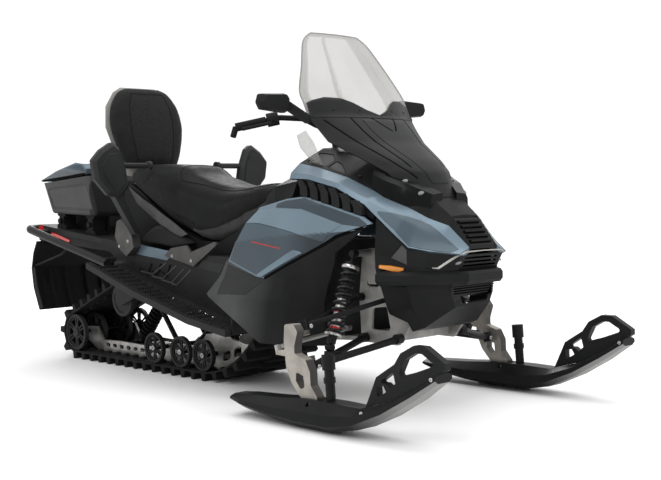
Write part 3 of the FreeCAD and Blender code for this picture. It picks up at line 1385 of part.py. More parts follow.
def make_rear_bumper():
    """Bent tube each side on the tunnel's brackets, a straight bar seated between them and a hitch tongue."""
    half = bumper_side()
    path = half + [(x, -y, z) for x, y, z in reversed(half)]
    rear_x, rear_z = half[-1][0], half[-1][2]
    middle = box(rear_x - 40, rear_x + 40, -BUMPER_BAR_HALF, BUMPER_BAR_HALF, rear_z - 40, rear_z + 40)
    runs = tube(path, BUMPER_RADIUS, 60).cut(middle).Solids
    runs.sort(key=lambda run: run.CenterOfMass.y)
    line = [(x, z) for x, y, z in half]
    shapes = []
    for side, run in zip((-1, 1), runs):
        brackets = [across(x, line_at(line, x), side * (TUNNEL_OUTER + SEAT_GAP), side * 296, 12)
                    for x in (TUNNEL_REAR_X + 100, -760.0)]
        shapes.append(fused([run] + brackets))
    bar_end = BUMPER_BAR_HALF - SEAT_GAP
    shapes.append(across(rear_x, rear_z, -bar_end, bar_end, BUMPER_RADIUS))
    front, back = TUNNEL_REAR_X - 6, rear_x + BUMPER_RADIUS + SEAT_GAP
    tongue = plan_prism([(back, -HITCH_HALF), (front, -HITCH_HALF), (front, HITCH_HALF), (back, HITCH_HALF)],
                        rear_z - HITCH_THICKNESS / 2, rear_z + HITCH_THICKNESS / 2)
    pin = Part.makeCylinder(HITCH_BORE, 60, Vec(rear_x + HITCH_SETBACK, 0, rear_z - 30))
    shapes.append(tongue.cut(pin))
    return Part.makeCompound(shapes)


def make_snow_flap():
    """Moulded flap behind the track, hung from the tunnel's rear end, with ribs, slots and stays."""
    t = 8.0
    end = TUNNEL_REAR_X
    line = [(end + 22, 580), (end - 12, 520), (end - 34, 440), (end - 18, 340), (end + 32, 232)]
    outline = line + [(x + t, z - 2) for x, z in reversed(line)]
    sheet = side_prism(outline, -250, 250)
    stays = [tube([(end + 310, side * 228, 566), (end + 240, side * 236, 520),
                   (end - 27, side * 236, 450)], 6, 30) for side in (-1, 1)]
    ribs = [side_prism([(end - 26, 440), (end - 10, 340), (end + 40, 240), (end + 50, 244), (end + 2, 344),
                        (end - 12, 438)], y - 9, y + 9) for y in (-150, -60, 60, 150)]
    lip = side_prism([(end - 30, 445), (end - 13, 345), (end + 36, 236), (end + 70, 240), (end + 20, 350),
                      (end, 445)], 242, 250)
    top = box(end + 4, end + 36, -TUNNEL_INNER + SEAT_GAP, TUNNEL_INNER - SEAT_GAP, 560, 626)
    slots = [side_slot(end, y) for y in (-200, -105, 105, 200)]
    return fused([sheet, lip, mirrored(lip), top] + ribs + stays).cut(slots)


def side_slot(end, y):
    """Upright slot with round ends through the flap."""
    return front_prism([(y - 13, 286), (y + 13, 286), (y + 13, 372), (y - 13, 372)], end - 60, end + 60, 11)


def make_tail_lamps():
    """Red lamp and wedge reflectors at the rear."""
    end = TUNNEL_REAR_X
    shapes = []
    for side in (-1, 1):
        shapes.append(side_prism([(end + 110, 612), (end + 280, 572), (end + 300, 590), (end + 140, 626)],
                                 side * (TUNNEL_OUTER + SEAT_GAP), side * (TUNNEL_OUTER + 6)))
        shapes.append(side_prism([(end + 12, 640), (end + 50, 636), (end + 40, 660), (end + 20, 660)],
                                 side * (TUNNEL_OUTER + SEAT_GAP), side * (TUNNEL_OUTER + 10)))
    return Part.makeCompound(shapes)


def both(make):
    """Right and left pieces of a maker that takes a side, as one compound."""
    return Part.makeCompound([make(-1), make(1)])


def main():
    shell = hood_shell()
    save("track", make_track())
    save("idler_wheels", make_idler_wheels())
    save("slide_rails", make_slide_rails())
    save("drive_axle", make_drive_axle())
    save("suspension_arms", make_suspension_arms())
    save("rear_shocks", make_rear_shocks())
    save("tunnel", make_tunnel())
    save("running_boards", both(make_running_board))
    save("engine_block", make_engine())
    save("bulkhead", make_bulkhead())
    save("front_arms", both(make_arms))
    save("front_shocks", both(make_front_shock))
    save("tie_rods", both(make_tie_rod))
    save("belly_pan", make_belly_pan())
    save("nose_shell", make_nose())
    save("nose_grille", make_nose_grille())
    save("front_bumper", make_front_bumper())
    save("side_panels", both(make_side_panel))
    save("lower_panels", both(make_lower_panel))
    save("side_vents", both(make_vents))
    save("hood_cowl", make_hood_cowl(shell))
    save("hood_blades", Part.makeCompound([make_hood_blade(shell, -1), make_hood_blade(shell, 1)]))
    save("headlights", both(make_headlight))
    save("windshield", make_windshield())
    save("windshield_fairing", make_fairing())
    save("mirrors", both(make_mirror))
    save("console", make_console())
    save("gauge", make_gauge())
    save("column_bracket", make_column_bracket())
    save("handlebar", make_handlebar())
    save("grips", make_grips())
    save("bar_controls", make_bar_controls())
    save("seat", make_seat())
    save("seat_base", make_seat_base())
    save("side_cushions", both(make_side_cushion))
    save("backrest", make_backrest())
    save("backrest_shell", make_backrest_shell())
    save("hand_guards", both(make_guard))
    save("tunnel_brackets", Part.makeCompound([both(make_guard_bracket), both(make_side_bracket)]))
    save("trunk", make_trunk())
    save("trunk_lid", make_trunk_lid())
    save("trunk_fittings", Part.makeCompound([make_trunk_hinge(), make_trunk_feet()]))
    save("rear_bumper", make_rear_bumper())
    save("snow_flap", make_snow_flap())
    save("tail_lamps", make_tail_lamps())
    for name, side in (("right", -1), ("left", 1)):
        save("ski_" + name, make_ski(side))
        save("ski_runner_" + name, make_ski_runner(side))
        save("ski_fittings_" + name, Part.makeCompound([make_ski_loop(side), make_ski_knob(side)]))
        save("spindle_" + name, make_spindle(side))


main()
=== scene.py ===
"""Dresses the packed snowmobile: finishes, soft seats, clear screen, springs, trim and a studio stage."""
import math

import bmesh
import bpy
import numpy as np
from mathutils import Matrix, Vector


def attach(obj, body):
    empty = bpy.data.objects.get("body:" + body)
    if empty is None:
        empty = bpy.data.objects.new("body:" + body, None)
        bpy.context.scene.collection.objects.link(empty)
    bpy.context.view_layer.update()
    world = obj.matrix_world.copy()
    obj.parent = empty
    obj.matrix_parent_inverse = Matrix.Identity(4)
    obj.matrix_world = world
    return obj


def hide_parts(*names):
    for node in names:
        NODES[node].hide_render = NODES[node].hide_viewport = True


bl_info = {
    "name": "Touring snowmobile",
    "version": (1, 0, 0),
    "blender": (4, 5, 0),
    "location": "3D View > Sidebar > Snowmobile",
    "description": "Finishes, upholstery, screen and trim for a two-up touring snowmobile",
    "category": "Object",
}

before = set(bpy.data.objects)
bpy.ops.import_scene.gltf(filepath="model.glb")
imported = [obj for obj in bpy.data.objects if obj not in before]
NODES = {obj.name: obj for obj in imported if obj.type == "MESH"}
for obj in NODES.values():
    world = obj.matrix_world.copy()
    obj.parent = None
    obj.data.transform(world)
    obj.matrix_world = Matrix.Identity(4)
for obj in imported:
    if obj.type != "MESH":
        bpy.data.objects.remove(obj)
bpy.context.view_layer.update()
CHASSIS = "chassis"
RIGHT, LEFT, TOP, FRONT, REAR = (0, -1, 0), (0, 1, 0), (0, 0, 1), (1, 0, 0), (-1, 0, 0)
MIRROR = np.array([1.0, -1.0, 1.0])


def colour_prop(name, text, value):
    return bpy.props.FloatVectorProperty(name=name, description=text, default=value, size=3, subtype="COLOR",
                                         min=0.0, max=1.0)


class SnowmobileColours(bpy.types.PropertyGroup):
    """Base colours of the finishes."""
    paint: colour_prop("Paint", "Blue-grey of the painted panels", (0.145, 0.199, 0.241))
    plastic: colour_prop("Black plastic", "Moulded black plastic", (0.0105, 0.0108, 0.0112))
    grey: colour_prop("Grey plastic", "Dark grey moulded plastic", (0.026, 0.0265, 0.027))
    pale: colour_prop("Pale grey", "Lighter grey inlays and trunk sides", (0.066, 0.066, 0.066))
    cover: colour_prop("Seat cover", "Charcoal seat cover", (0.0098, 0.0100, 0.0104))
    alloy: colour_prop("Alloy", "Cast and sheet alloy", (0.50, 0.49, 0.47))
    cast: colour_prop("Warm cast", "Cast uprights", (0.42, 0.39, 0.35))
    screen: colour_prop("Screen", "Clear sheet of the windshield", (0.36, 0.352, 0.335))


class SnowmobileSizes(bpy.types.PropertyGroup):
    """Sizes of the pieces that dress the machine."""
    voxel: bpy.props.FloatProperty(name="Cushion mesh", description="Voxel size of the padded pieces",
                                   default=0.005, min=0.003, max=0.02, unit="LENGTH")
    puff: bpy.props.FloatProperty(name="Cushion puff", description="Most that a cushion point may move out",
                                  default=0.007, min=0.0, max=0.03, unit="LENGTH")
    wire: bpy.props.FloatProperty(name="Spring wire", description="Radius of the front springs' wire",
                                  default=0.0045, min=0.002, max=0.01, unit="LENGTH")
    bolt: bpy.props.FloatProperty(name="Bolt head", description="Radius of the visible bolt heads",
                                  default=0.007, min=0.003, max=0.02, unit="LENGTH")
    crisp: bpy.props.FloatProperty(name="Crisp angle", default=24.0, min=5.0, max=80.0,
                                   description="Edges of carried nodes over this stay sharp")


# Surfaces worked out with numpy

def smooth_rows(points, count, loop=False):
    """Cubic h00 p1 + h10 m1 + h01 p2 + h11 m2 over each span of rows, with slopes m = (p2 - p0) / 2."""
    points = np.asarray(points, float)
    last = len(points) if loop else len(points) - 1
    t = np.linspace(0, last, count, endpoint=not loop)
    i = np.minimum(t.astype(int), last - 1)
    f = (t - i).reshape((-1,) + (1,) * (points.ndim - 1))

    def pick(k):
        return points[k % len(points)] if loop else points[np.clip(k, 0, len(points) - 1)]

    p0, p1, p2, p3 = pick(i - 1), pick(i), pick(i + 1), pick(i + 2)
    m1, m2 = (p2 - p0) / 2, (p3 - p1) / 2
    return ((2 * f**3 - 3 * f**2 + 1) * p1 + (f**3 - 2 * f**2 + f) * m1
            + (3 * f**2 - 2 * f**3) * p2 + (f**3 - f**2) * m2)


def unit(vectors):
    vectors = np.asarray(vectors, float)
    return vectors / np.linalg.norm(vectors, axis=-1, keepdims=True)


def square_to(axis, hint):
    """Two unit directions square to the axis and to each other, the first also square to the hint."""
    u = unit(np.cross(axis, hint))
    return u, np.cross(axis, u)


def circle(u, v, sides):
    """Rings u cos a + v sin a, one for each pair of directions."""
    a = np.linspace(0, 2 * np.pi, sides, endpoint=False)[:, None]
    return u[..., None, :] * np.cos(a) + v[..., None, :] * np.sin(a)


def grid_faces(rows, cols, closed=True):
    """Quads (i,j) (i+1,j) (i+1,j+1) (i,j+1) of a grid, whose columns may close on themselves."""
    i = np.arange(rows - 1)[:, None]
    j = np.arange(cols if closed else cols - 1)[None, :]
    jj = (j + 1) % cols
    return np.stack([i * cols + j, (i + 1) * cols + j, (i + 1) * cols + jj, i * cols + jj], -1).reshape(-1, 4)


def mesh_object(name, points, faces, smooth=True):
    """Mesh from an array of points and a list of faces."""
    mesh = bpy.data.meshes.new(name)
    points = np.asarray(points, float).reshape(-1, 3).tolist()
    mesh.from_pydata(points, [], [list(map(int, face)) for face in faces])
    mesh.validate()
    mesh.update()
    mesh.polygons.foreach_set("use_smooth", np.full(len(mesh.polygons), smooth))
    obj = bpy.data.objects.new(name, mesh)
    bpy.context.scene.collection.objects.link(obj)
    return obj


def closed_mesh(name, grids, top=True):
    """Closed grids as one mesh, doubles merged and faces turned out; top also caps each grid's last row."""
    faces, count = [], 0
    for grid in grids:
        rows, cols = grid.shape[:2]
        faces += (grid_faces(rows, cols) + count).tolist()
        faces.append(list(range(count, count + cols)))
        count += rows * cols
        if top:
            faces.append(list(range(count - cols, count))[::-1])
    obj = mesh_object(name, np.concatenate([grid.reshape(-1, 3) for grid in grids]), faces)
    work = bmesh.new()
    work.from_mesh(obj.data)
    bmesh.ops.remove_doubles(work, verts=work.verts, dist=1e-6)
    bmesh.ops.recalc_face_normals(work, faces=work.faces)
    work.to_mesh(obj.data)
    work.free()
    return obj


def add_modifier(obj, kind, **values):
    modifier = obj.modifiers.new(kind.title(), kind)
    for key, value in values.items():
        setattr(modifier, key, value)
    return modifier


def apply_modifiers(obj):
    """Replaces the object's mesh by its evaluated one."""
    depsgraph = bpy.context.evaluated_depsgraph_get()
    mesh = bpy.data.meshes.new_from_object(obj.evaluated_get(depsgraph))
    obj.modifiers.clear()
    obj.data = mesh


def tube_grid(path, radius, sides=8):
    """Ring c + r (n cos a + b sin a) about each point of a path, n and b square to its tangent."""
    tangent = unit(np.gradient(path, axis=0))
    hint = TOP if abs(tangent[:, 2]).max() < 0.95 else LEFT
    return path[:, None] + radius * circle(*square_to(tangent, hint), sides)


def coil_grid(start, end, radius, turns, wire, steps=22, sides=8):
    """Round wire on the helix s + (e - s) t + R (u cos 2 pi n t + v sin 2 pi n t)."""
    axis = unit(end - start)
    u, v = square_to(axis, (0.0, 1.0, 0.1))
    t = np.linspace(0, 1, int(turns * steps) + 1)[:, None]
    a = 2 * np.pi * turns * t
    radial = u * np.cos(a) + v * np.sin(a)
    centre = start + (end - start) * t + radius * radial
    return centre[:, None] + wire * circle(radial, axis, sides)


def sleeve(start, end, profile, sides=20):
    """Turned piece: circles of the profile's radii at its shares of the way from start to end."""
    profile = np.asarray(profile, float)
    ring = circle(*square_to(unit(end - start), (0.0, 1.0, 0.1)), sides)
    centre = start + (end - start) * profile[:, 0:1]
    return centre[:, None] + profile[:, 1][:, None, None] * ring


def prism(outline, shift):
    """Closed outline carried along a straight shift."""
    outline = np.asarray(outline, float)
    return np.stack([outline, outline + shift])


def triangles(names):
    """Corners of every triangle of the named nodes or pieces, in metres."""
    found = []
    for name in names.split():
        obj = NODES.get(name) or bpy.data.objects[name]
        mesh = obj.data
        mesh.calc_loop_triangles()
        corners = np.empty(len(mesh.loop_triangles) * 3, dtype=np.int32)
        mesh.loop_triangles.foreach_get("vertices", corners)
        place = np.array(obj.matrix_world)
        points = places(obj) @ place[:3, :3].T + place[:3, 3]
        found.append(points[corners.reshape(-1, 3)])
    return np.concatenate(found)


def places(obj):
    found = np.empty(len(obj.data.vertices) * 3)
    obj.data.vertices.foreach_get("co", found)
    return found.reshape(-1, 3)


def draped(names, points, axis):
    """Slides points along the axis to the outermost triangle, by barycentric weights square to it."""
    axis = unit(axis)
    u, v = square_to(axis, TOP if abs(axis[2]) < 0.9 else FRONT)
    p = np.reshape(points, (-1, 3)).astype(float)
    tri = triangles(names)
    flat = np.stack([tri @ u, tri @ v], -1)
    flat_p = np.stack([p @ u, p @ v], -1)
    near = (flat.max(1) >= flat_p.min(0)).all(1) & (flat.min(1) <= flat_p.max(0)).all(1)
    e, f = flat[:, 1] - flat[:, 0], flat[:, 2] - flat[:, 0]
    area = e[:, 0] * f[:, 1] - e[:, 1] * f[:, 0]
    near &= np.abs(area) > 1e-12
    flat, e, f, area, high = flat[near], e[near], f[near], area[near], (tri @ axis)[near]
    best = np.full(len(p), -np.inf)
    for first in range(0, len(p), 400):
        q = flat_p[first:first + 400, None] - flat[None, :, 0]
        s = (q[..., 0] * f[:, 1] - q[..., 1] * f[:, 0]) / area
        t = (e[:, 0] * q[..., 1] - e[:, 1] * q[..., 0]) / area
        height = high[:, 0] + s * (high[:, 1] - high[:, 0]) + t * (high[:, 2] - high[:, 0])
        inside = (s >= -1e-5) & (t >= -1e-5) & (s + t <= 1 + 1e-5)
        best[first:first + 400] = np.where(inside, height, -np.inf).max(axis=1, initial=-np.inf)
    met = np.isfinite(best)
    if not met.any():
        raise RuntimeError("The points miss " + names)
    gap = np.linalg.norm(flat_p[~met][:, None] - flat_p[met][None], axis=2)
    best[~met] = best[met][gap.argmin(axis=1)] if len(gap) else best[~met]
    return (p + (best - p @ axis)[:, None] * axis).reshape(np.shape(points))


def lengths(line):
    return np.linalg.norm(np.diff(line, axis=0), axis=1)


def shares(line):
    """Length along a polyline at each of its points, from 0 to 1."""
    return np.concatenate([[0.0], np.cumsum(lengths(line))]) / lengths(line).sum()


def along(line, t):
    own = shares(line)
    return np.stack([np.interp(t, own, column) for column in line.T], -1)


def slab(names, low, high, axis, lift=0.002, sink=0.002, step=0.012, rim=0.0012, tilt=0.0):
    """Plate between two edges laid on the nodes, up by lift + tilt (1 - v) inside its rim, sunk around it."""
    axis = unit(axis)
    length = max(lengths(low).sum(), lengths(high).sum())
    edge = min(0.2, rim / length)
    evenly = np.linspace(edge, 1 - edge, max(2, int(length / step) + 1))
    u = np.unique(np.concatenate([evenly, shares(low), shares(high), [0.0, 1.0]]).round(5))
    width = np.linalg.norm(along(high, u) - along(low, u), axis=1).max()
    edge = min(0.3, rim / max(width, 1e-6))
    v = np.concatenate([[0.0], np.linspace(edge, 1 - edge, max(2, int(width / step) + 1)), [1.0]])
    flat = along(low, u)[:, None] * (1 - v)[None, :, None] + along(high, u)[:, None] * v[None, :, None]
    base = draped(names, flat, axis) if names else flat
    inside = (v[None, :] > 0) & (v[None, :] < 1) & (u[:, None] > 0) & (u[:, None] < 1)
    lift, tilt = [np.interp(u, [0, 1], np.broadcast_to(value, 2))[:, None] for value in (lift, tilt)]
    rise = np.where(inside, lift + tilt * (1 - v)[None, :], -0.3 * sink)
    return np.concatenate([base + rise[..., None] * axis, (base - sink * axis)[:, ::-1]], axis=1)


def ribbon(names, path, width, axis, lift=0.0015, **kinds):
    """Slab of the given width along a path."""
    over = unit(np.cross(unit(axis), unit(np.gradient(path, axis=0))))
    return slab(names, path - over * width / 2, path + over * width / 2, axis, lift, **kinds)


def piping(names, path, radius, axis, rise=0.3, step=0.008):
    """Round cord that lies along a path on the nodes."""
    count = max(6, int(lengths(path).sum() / step))
    line = draped(names, along(path, np.linspace(0, 1, count)), axis)
    return tube_grid(line + unit(axis) * radius * rise, radius)


def side(points, y=-0.3):
    """Side view (x, z) points in millimetres as places in metres."""
    return np.array([(x / 1000, y, z / 1000) for x, z in points])


def plan(points, z=0.8):
    """Top view (x, y) points in millimetres as places in metres."""
    return np.array([(x / 1000, y / 1000, z) for x, y in points])


def front(points, x=1.2):
    """Front view (y, z) points in millimetres as places in metres."""
    return np.array([(x, y / 1000, z / 1000) for y, z in points])


def space(points):
    return np.array(points, float) / 1000


# Materials

SOCKETS = {"rough": "Roughness", "metal": "Metallic", "coat": "Coat Weight", "coat_rough": "Coat Roughness",
           "ior": "IOR", "level": "Specular IOR Level", "sheen": "Sheen Weight",
           "sheen_rough": "Sheen Roughness", "emit": "Emission Strength"}


class Graph:
    """Small helper that builds a node tree for one finish."""

    def __init__(self, name="finish"):
        self.material = bpy.data.materials.new(name)
        self.material.use_nodes = True
        self.tree = self.material.node_tree
        self.tree.nodes.clear()
        self.output = self.node("ShaderNodeOutputMaterial")
        self.shader = self.node("ShaderNodeBsdfPrincipled")
        self.link(self.shader.outputs[0], self.output.inputs[0])
        self.place = self.node("ShaderNodeTexCoord").outputs["Object"]

    def link(self, source, target):
        self.tree.links.new(source, target)

    def node(self, kind, **values):
        made = self.tree.nodes.new(kind)
        for key, value in values.items():
            setattr(made, key, value)
        return made

    def set(self, **values):
        for key, value in values.items():
            self.shader.inputs[SOCKETS[key]].default_value = value

    def give(self, socket, value):
        """A number, a colour or another node's output for one socket."""
        if isinstance(value, (int, float)):
            socket.default_value = value
        elif isinstance(value, (tuple, list)):
            socket.default_value = (*value[:3], 1.0)
        else:
            self.link(value, socket)

    def pattern(self, kind, stretch, output, inputs, **values):
        """Texture over the object's own coordinates, scaled by stretch where one is given."""
        made = self.node(kind, **values)
        for name, value in inputs.items():
            made.inputs[name].default_value = value
        source = self.place
        if stretch:
            mapping = self.node("ShaderNodeMapping")
            mapping.inputs["Scale"].default_value = stretch
            self.link(source, mapping.inputs["Vector"])
            source = mapping.outputs[0]
        self.link(source, made.inputs["Vector"])
        return made.outputs[output]

    def noise(self, scale, detail=2.0, stretch=None, rough=0.5):
        inputs = {"Scale": scale, "Detail": detail, "Roughness": rough}
        return self.pattern("ShaderNodeTexNoise", stretch, "Fac", inputs)

    def cells(self, scale, feature="F1", stretch=None):
        return self.pattern("ShaderNodeTexVoronoi", stretch, "Distance", {"Scale": scale}, feature=feature)

    def ramp(self, source, low, high, first=0.0, second=1.0):
        """Maps low..high of the source to first..second."""
        made = self.node("ShaderNodeMapRange")
        for socket, value in zip(("From Min", "From Max", "To Min", "To Max"), (low, high, first, second)):
            made.inputs[socket].default_value = value
        self.link(source, made.inputs["Value"])
        return made.outputs[0]

    def math(self, kind, a, b):
        made = self.node("ShaderNodeMath", operation=kind)
        self.give(made.inputs[0], a)
        self.give(made.inputs[1], b)
        return made.outputs[0]

    def mix(self, factor, first, second):
        made = self.node("ShaderNodeMix", data_type="RGBA")
        for index, value in ((0, factor), (6, first), (7, second)):
            self.give(made.inputs[index], value)
        return made.outputs[2]

    def part(self, axis, source=None):
        """One coordinate of the source, or of the surface's normal."""
        split = self.node("ShaderNodeSeparateXYZ")
        self.link(source or self.node("ShaderNodeNewGeometry").outputs["Normal"], split.inputs[0])
        return split.outputs[axis]

    def band(self):
        return self.node("ShaderNodeAttribute", attribute_name="band").outputs["Fac"]

    def edges(self, radius):
        """Rounded normal, and 1 where it leaves the flat one: the edges, which the finishes lighten as wear
        and as painted highlight.
        """
        bevel = self.node("ShaderNodeBevel", samples=4)
        bevel.inputs["Radius"].default_value = radius
        flat = self.node("ShaderNodeNewGeometry").outputs["Normal"]
        dot = self.node("ShaderNodeVectorMath", operation="DOT_PRODUCT")
        self.link(bevel.outputs[0], dot.inputs[0])
        self.link(flat, dot.inputs[1])
        return bevel.outputs[0], self.ramp(dot.outputs["Value"], 0.985, 0.85)

    def bump(self, height, strength, distance, normal=None):
        """Raises the surface by the height, over the given normal where there is one."""
        made = self.node("ShaderNodeBump")
        made.inputs["Strength"].default_value = strength
        made.inputs["Distance"].default_value = distance
        self.link(height, made.inputs["Height"])
        if normal is not None:
            self.link(normal, made.inputs["Normal"])
        self.link(made.outputs[0], self.shader.inputs["Normal"])

    def colour(self, socket):
        self.link(socket, self.shader.inputs["Base Color"])

    def rough(self, socket):
        self.link(socket, self.shader.inputs["Roughness"])


def scaled(colour, factor):
    return tuple(min(1.0, c * factor) for c in colour)


def moulded(colour, rough, grain, depth, wear, coat=0.0, dust=0.0, level=0.1, other=None, vector=(0, 0, 1),
            low=0.0, high=1.0, under=None):
    """Grained surface: fine noise in the bump, broad noise in colour and gloss, lighter edges that are wear
    and painted highlight.

    Past a plane it may take the other colour, on faces that look up it may hold dust, and below and ahead
    it may take the under colour."""
    g = Graph()
    g.set(coat=coat, coat_rough=0.12, level=level)
    normal, worn = g.edges(0.0018)
    broad = g.noise(7.0, 4.0)
    fine = g.noise(grain, 2.0)
    if other:
        reach = g.node("ShaderNodeVectorMath", operation="DOT_PRODUCT")
        reach.inputs[1].default_value = vector
        g.link(g.place, reach.inputs[0])
        light = g.mix(g.ramp(reach.outputs["Value"], low, high), colour, other)
        dark = g.mix(0.3, light, (0.0, 0.0, 0.0))
        base = g.mix(g.ramp(broad, 0.3, 0.7), dark, light)
    else:
        base = g.mix(g.ramp(broad, 0.3, 0.7), scaled(colour, 0.82), scaled(colour, 1.18))
    # lighter edges in patches: wear and painted highlight
    rubbed = tuple(c + wear * (0.22 - 0.2 * c) for c in colour)
    base = g.mix(g.math("MULTIPLY", worn, g.ramp(g.noise(60.0, 3.0), 0.42, 0.75)), base, rubbed)
    if dust > 0 or under:
        up = g.part("Z")
        powder = g.math("MULTIPLY", g.ramp(up, 0.3, 1.0, 0.0, dust), g.ramp(g.noise(30.0, 4.0), 0.4, 0.7))
        base = g.mix(powder, base, (0.34, 0.34, 0.34))
        if under:
            ahead = g.part("X", g.place)
            below = g.math("MULTIPLY", g.ramp(up, -0.1, -0.4), g.ramp(ahead, 1.16, 1.36))
            base = g.mix(below, base, under)
    g.colour(base)
    gloss = g.math("ADD", g.math("MULTIPLY", broad, 0.6), g.math("MULTIPLY", fine, 0.4))
    g.rough(g.ramp(gloss, 0.3, 0.7, max(0.05, rough - 0.07), min(1.0, rough + 0.09)))
    g.bump(fine, 0.6, depth, normal)
    return g.material


def painted(colour):
    """Metallic body paint: flakes in the base, a clear coat over it, painted shade deepening it on faces that
    look down, and edges lighter as wear and painted highlight.
    """
    g = Graph()
    g.set(metal=0.4, coat=0.16, coat_rough=0.1, level=0.2)
    normal, worn = g.edges(0.0025)
    flake = g.cells(2600.0)
    tone = g.mix(g.ramp(flake, 0.1, 0.6), scaled(colour, 1.25), scaled(colour, 0.85))
    tone = g.mix(g.ramp(g.noise(3.0, 2.0), 0.35, 0.65), tone, scaled(colour, 1.08))
    # painted shade: faces that look down fall towards 0.3 of the colour
    tone = g.mix(g.ramp(g.part("Z"), 0.16, -0.26), tone, scaled(colour, 0.30))
    # lighter edges: wear and painted highlight
    g.colour(g.mix(g.math("MULTIPLY", worn, 0.35), tone, scaled(colour, 1.8)))
    g.rough(g.ramp(g.noise(40.0, 3.0), 0.3, 0.7, 0.30, 0.38))
    g.bump(flake, 0.05, 0.0001, normal)
    return g.material


def brushed(colour, rough, stretch=(1.0, 30.0, 30.0), metal=0.92, ahead=None):
    """Machined or cast alloy: stretched noise in gloss and bump, darker in broad patches.

    Faces that look ahead may take the ahead colour, a painted shade; the edges are lighter as wear and
    painted highlight."""
    g = Graph()
    g.set(metal=metal)
    normal, worn = g.edges(0.0015)
    streak = g.noise(90.0, 3.0, stretch)
    soil = g.noise(14.0, 5.0)
    base = g.mix(g.ramp(soil, 0.35, 0.72), scaled(colour, 0.62), colour)
    if ahead:
        # painted shade on faces that look ahead
        base = g.mix(g.ramp(g.part("X"), 0.45, 0.85), base, ahead)
    # lighter edges: wear and painted highlight
    g.colour(g.mix(g.math("MULTIPLY", worn, 0.6), base, scaled(colour, 1.3)))
    g.rough(g.ramp(streak, 0.3, 0.7, rough - 0.08, rough + 0.14))
    g.bump(streak, 0.25, 0.0001, normal)
    return g.material


def grained_cover(colour, pores=320.0, rough=0.5, other=None):
    """Coated cloth: rounded cells with fine creases, in the other tone where its band attribute is over 0."""
    g = Graph()
    g.set(sheen=0.02, sheen_rough=0.5, level=0.05)
    cell = g.cells(pores, "DISTANCE_TO_EDGE")
    crease = g.noise(26.0, 5.0, rough=0.6)
    base = g.mix(g.ramp(cell, 0.0, 0.12), scaled(colour, 0.6), scaled(colour, 1.15))
    base = g.mix(g.ramp(crease, 0.35, 0.75), base, scaled(colour, 1.5))
    if other:
        band = g.band()
        tone = g.mix(g.ramp(crease, 0.3, 0.8), scaled(other, 0.85), scaled(other, 1.15))
        base = g.mix(g.ramp(band, -0.0006, 0.0006), base, tone)
    g.colour(base)
    g.rough(g.ramp(crease, 0.3, 0.7, rough - 0.08, rough + 0.12))
    g.bump(g.math("ADD", g.ramp(cell, 0.0, 0.25), g.math("MULTIPLY", crease, 0.7)), 0.5, 0.0004)
    return g.material


def mesh_cloth(colour):
    """Spacer mesh with dark holes where the band attribute is over 0, coated cloth outside it."""
    g = Graph()
    g.set(sheen=0.03, sheen_rough=0.4, level=0.1)
    hole = g.ramp(g.cells(150.0, "F1", (1.0, 1.0, 1.25)), 0.22, 0.45)
    inside = g.ramp(g.band(), -0.0006, 0.0006)
    net = g.mix(hole, scaled(colour, 0.3), scaled(colour, 1.7))
    cloth = g.mix(g.ramp(g.noise(26.0, 5.0), 0.35, 0.75), colour, scaled(colour, 1.5))
    g.colour(g.mix(inside, cloth, net))
    g.set(rough=0.62)
    pores = g.cells(320.0, "DISTANCE_TO_EDGE")
    g.bump(g.math("ADD", g.math("MULTIPLY", hole, inside), g.math("MULTIPLY", pores, 0.8)), 0.6, 0.0007)
    return g.material


def clear_sheet(colour, clear=0.36, frosted=0.64):
    """Clear plastic sheet, paler and denser where its band attribute is 1."""
    g = Graph()
    g.set(level=0.2, ior=1.49)
    band = g.band()
    haze = g.noise(4.0, 3.0)
    g.colour(g.mix(band, colour, scaled(colour, 0.8)))
    g.rough(g.ramp(band, 0.0, 1.0, 0.08, 0.3))
    dense = g.math("ADD", g.ramp(band, 0.0, 1.0, clear, frosted), g.ramp(haze, 0.3, 0.7, -0.03, 0.03))
    g.link(dense, g.shader.inputs["Alpha"])
    return g.material


def lens(colour, rough, glow=0.0, coat=0.6, level=0.3):
    """Lamp lens: coloured plastic with fine flutes, from noise stretched across the machine."""
    g = Graph()
    g.set(coat=coat, coat_rough=0.03, emit=glow, level=level)
    flute = g.noise(60.0, 1.0, (1.0, 9.0, 1.0))
    tone = g.mix(flute, scaled(colour, 0.7), colour)
    g.colour(tone)
    g.link(tone, g.shader.inputs["Emission Color"])
    g.rough(g.ramp(flute, 0.3, 0.7, rough, rough + 0.08))
    g.bump(flute, 0.3, 0.0006)
    return g.material


FINISHES = {}
EVEN = (2.0, 2.0, 2.0)


